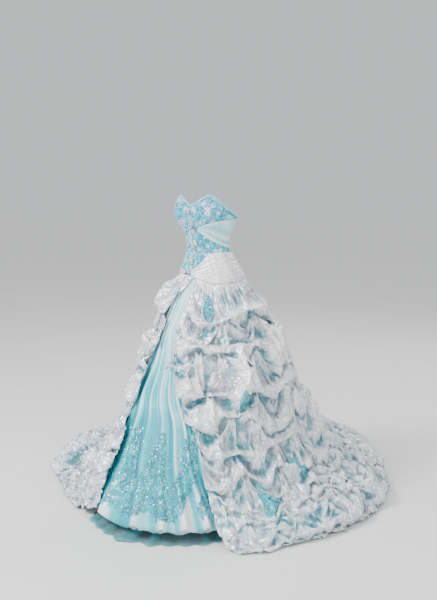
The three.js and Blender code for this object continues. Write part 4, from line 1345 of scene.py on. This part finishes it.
def drapeOverskirt():
    # rows run from the hem up, so that the faces look outwards
    count = overskirt["rows"]
    total = sum(overskirt["columns"].values()) + 1
    down = np.repeat(np.linspace(form["allTiers"], 0, count + 1)[:, None], total, 1)
    azimuth = overskirtAzimuths(down)
    tacks = placeTacks()
    moved, lowered, sunk, pinned = gathered(azimuth, down, tacks)
    depth = np.interp(down, np.arange(9) + 0.5, overskirt["puffDepth"])
    top = smoothStep(down, 0, 0.16) * smoothStep(form["allTiers"] - down, 0, 0.4)
    puff = depth * (1 - sunk) * top
    puff = puff * mix(0.12, 1.0, smoothStep(fromFrontEdges(azimuth), 0, 8))
    cut = raised(overskirtBase(azimuth, down), puff)
    start = raised(overskirtBase(moved, lowered), puff)
    draw = np.random.default_rng(62)
    pinned[-1] = True
    start[-1] = overskirtBase(azimuth, down)[-1]
    hemPins = np.unique(np.clip(np.cumsum(draw.integers(5, 11, 90)), 0, total - 1))
    pinned[0, hemPins] = True
    pinned[0, [0, total - 1]] = True
    for column, (first, step) in overskirt["edgePins"].items():
        pinned[first::step, column] = True
    pull = 1 - draw.uniform(0.0, 0.035, total)
    start[0, :, :2] *= pull[:, None]
    start[..., 2] = np.maximum(start[..., 2], floorHeight + 0.003)
    draped = eased(simulateCloth(start, cut, pinned), 0.3, 1)
    calm = eased(draped, 0.5, 6)  # the first tier hangs more softly than the rest
    return mix(calm, draped, smoothStep(down, 0.55, 1.15)[..., None]), down, azimuth


def crumpled(points, down, azimuth):
    # small sharp creases: folded sine waves in several directions, each strong only in its own patches,
    # and upright gathers under the waist
    x, y = np.radians(azimuth) * 0.6, down * 0.15
    draw = np.random.default_rng(64)
    total = 0
    for _ in range(overskirt["creases"]):
        turn, size = draw.uniform(0, np.pi), draw.uniform(0.045, 0.085)
        bend, patch = (wander(x, y, scale, int(draw.integers(9999))) for scale in (5, 4))
        fold = np.abs(np.sin(np.pi * ((x * np.cos(turn) + y * np.sin(turn)) / size + 0.8 * bend)))
        total = total + (0.5 - fold**0.7) * np.clip(patch + 0.3, 0, 1)
    gathers = np.cos(2 * np.pi * (azimuth / 9.5 + 1.2 * wander(x, y, 2, 65))) * bell(down, 0, 0.7)
    ends = smoothStep(down, 0, 0.08) * mix(0.25, 1.0, smoothStep(fromFrontEdges(azimuth), 0, 5))
    return raised(points, ends * (overskirt["creaseHeight"] * total + overskirt["gatherHeight"] * gathers))


def foldDepths(points, down, azimuth):
    # how far each point lies below the mean of the cloth round it, counted out from the smooth form; this
    # paints shade in the folds, darker the deeper they lie
    base = overskirtBase(azimuth, down)
    out = np.sum((points - base) * normalsOf(base), -1)
    broad = blurred(out, 9) - out
    narrow = blurred(out, 3) - out
    return np.clip(0.31 + broad / 0.042 + narrow / 0.018, 0, 1)


pickups = {
    "lace_1": {"azimuth": (27, 43), "z": (-0.311, -0.214)},
    "lace_2": {"azimuth": (54, 60), "z": (-0.670, -0.579)},
    "lace_3": {"azimuth": (61, 67), "z": (-1.045, -0.955)},
    "lace_4": {"azimuth": (88, 94), "z": (-0.955, -0.872)},
}


pickupLace = {
    "finer": 5, "spacing": 0.021, "flower": 0.0125, "tints": [0.1, 0.3, 0.5, 0.7, 0.9], "lift": 0.0012,
    "relief": 0.0012, "wall": 0.0008, "sequins": 120, "sequinSize": 0.0022,
}


def buildOverskirt():
    points, down, azimuth = drapeOverskirt()
    points = crumpled(points, down, azimuth)
    low = [cadLow[0] - overskirt["boxMargin"], cadLow[1] - overskirt["boxMargin"],
           floorHeight + overskirt["offFloor"]]
    points = np.clip(points, low, np.array(cadHigh) + overskirt["boxMargin"])
    depths = foldDepths(points, down, azimuth)
    start = 0
    for name, count in overskirt["columns"].items():
        part = slice(start, start + count + 1)
        start += count
        smoother = 1 if name == "left_front" else 0
        item = makeShell(f"taffeta_{name}", points[:, part], overskirt["wall"], overskirtCloth,
                         {"toneAndShading": depths[:, part]}, smoother=smoother)
        standFor(f"overskirt_{name}")
        declareCut(points[:, part])
    print("overskirt done")
    return points, azimuth


def fineGrid(patch, factor):
    # a grid with more points in it, by straight lines between the old ones
    i = np.linspace(0, patch.shape[0] - 1, (patch.shape[0] - 1) * factor + 1)
    j = np.linspace(0, patch.shape[1] - 1, (patch.shape[1] - 1) * factor + 1)
    a = np.clip(i.astype(int), 0, patch.shape[0] - 2)
    b = np.clip(j.astype(int), 0, patch.shape[1] - 2)
    s = (i - a)[:, None, None]
    t = (j - b)[None, :, None]
    lower = mix(patch[a][:, b], patch[a][:, b + 1], t)
    upper = mix(patch[a + 1][:, b], patch[a + 1][:, b + 1], t)
    return mix(lower, upper, s)


def buildPickups(points, azimuth):
    # an oval of scattered motifs on a finer patch of the overskirt's own grid
    w = pickupLace
    for index, (name, spot) in enumerate(pickups.items()):
        heights = points[..., 2]
        inside = (azimuth > spot["azimuth"][0]) & (azimuth < spot["azimuth"][1])
        inside &= (heights > spot["z"][0]) & (heights < spot["z"][1])
        rows, columns = (np.flatnonzero(inside.any(axis)) for axis in (1, 0))
        patch = fineGrid(points[rows[0]:rows[-1] + 2, columns[0]:columns[-1] + 2], w["finer"])
        x, y = np.meshgrid(runLength(patch, 1), runLength(patch, 0))
        motifs = scatterMotifs(x.max(), y.max(), w["spacing"], w["flower"], 70 + index, w["tints"])
        field, tint = laceField(x - x.max() / 2, y, motifs)
        roundness = np.hypot((x / x.max() - 0.5) * 2, (y / y.max() - 0.5) * 2)
        shown = (field > 0) & (roundness < 0.86 + 0.25 * wander(x * 20, y * 20, 1, 80 + index))
        laced = raised(patch, w["lift"] + laceRelief(field, w["relief"]))
        lace = makeShell(f"beaded_{name}", laced, w["wall"], turquoiseLace, {"tint": tint}, shown,
                         inward=False)
        standFor(f"pickup_{name}")
        draw = np.random.default_rng(90 + index)
        row, column = np.nonzero(shown)
        chosen = draw.choice(len(row), min(w["sequins"], len(row)), replace=False)
        row = np.clip(row[chosen], 1, shown.shape[0] - 2)
        column = np.clip(column[chosen], 1, shown.shape[1] - 2)
        beads = sewBeads(f"beads_{name}", raised(laced, 0.001), row, column, w["sequinSize"],
                         sequinFoil, [0.0, 0.3, 0.6, 0.9], 0.6, 95 + index)
        declareCut(laced, shown)
    print("pick-up lace done")


placeCamera()
placeLights()
buildFloor()
buildBodice()
buildBodiceLace()
buildBinding()
buildDrape()
buildSash()
buildStones()
buildZip()
buildFrontPanel()
buildUnderskirt()
buildPetticoat()
overskirtPoints, overskirtTurns = buildOverskirt()
buildPickups(overskirtPoints, overskirtTurns)
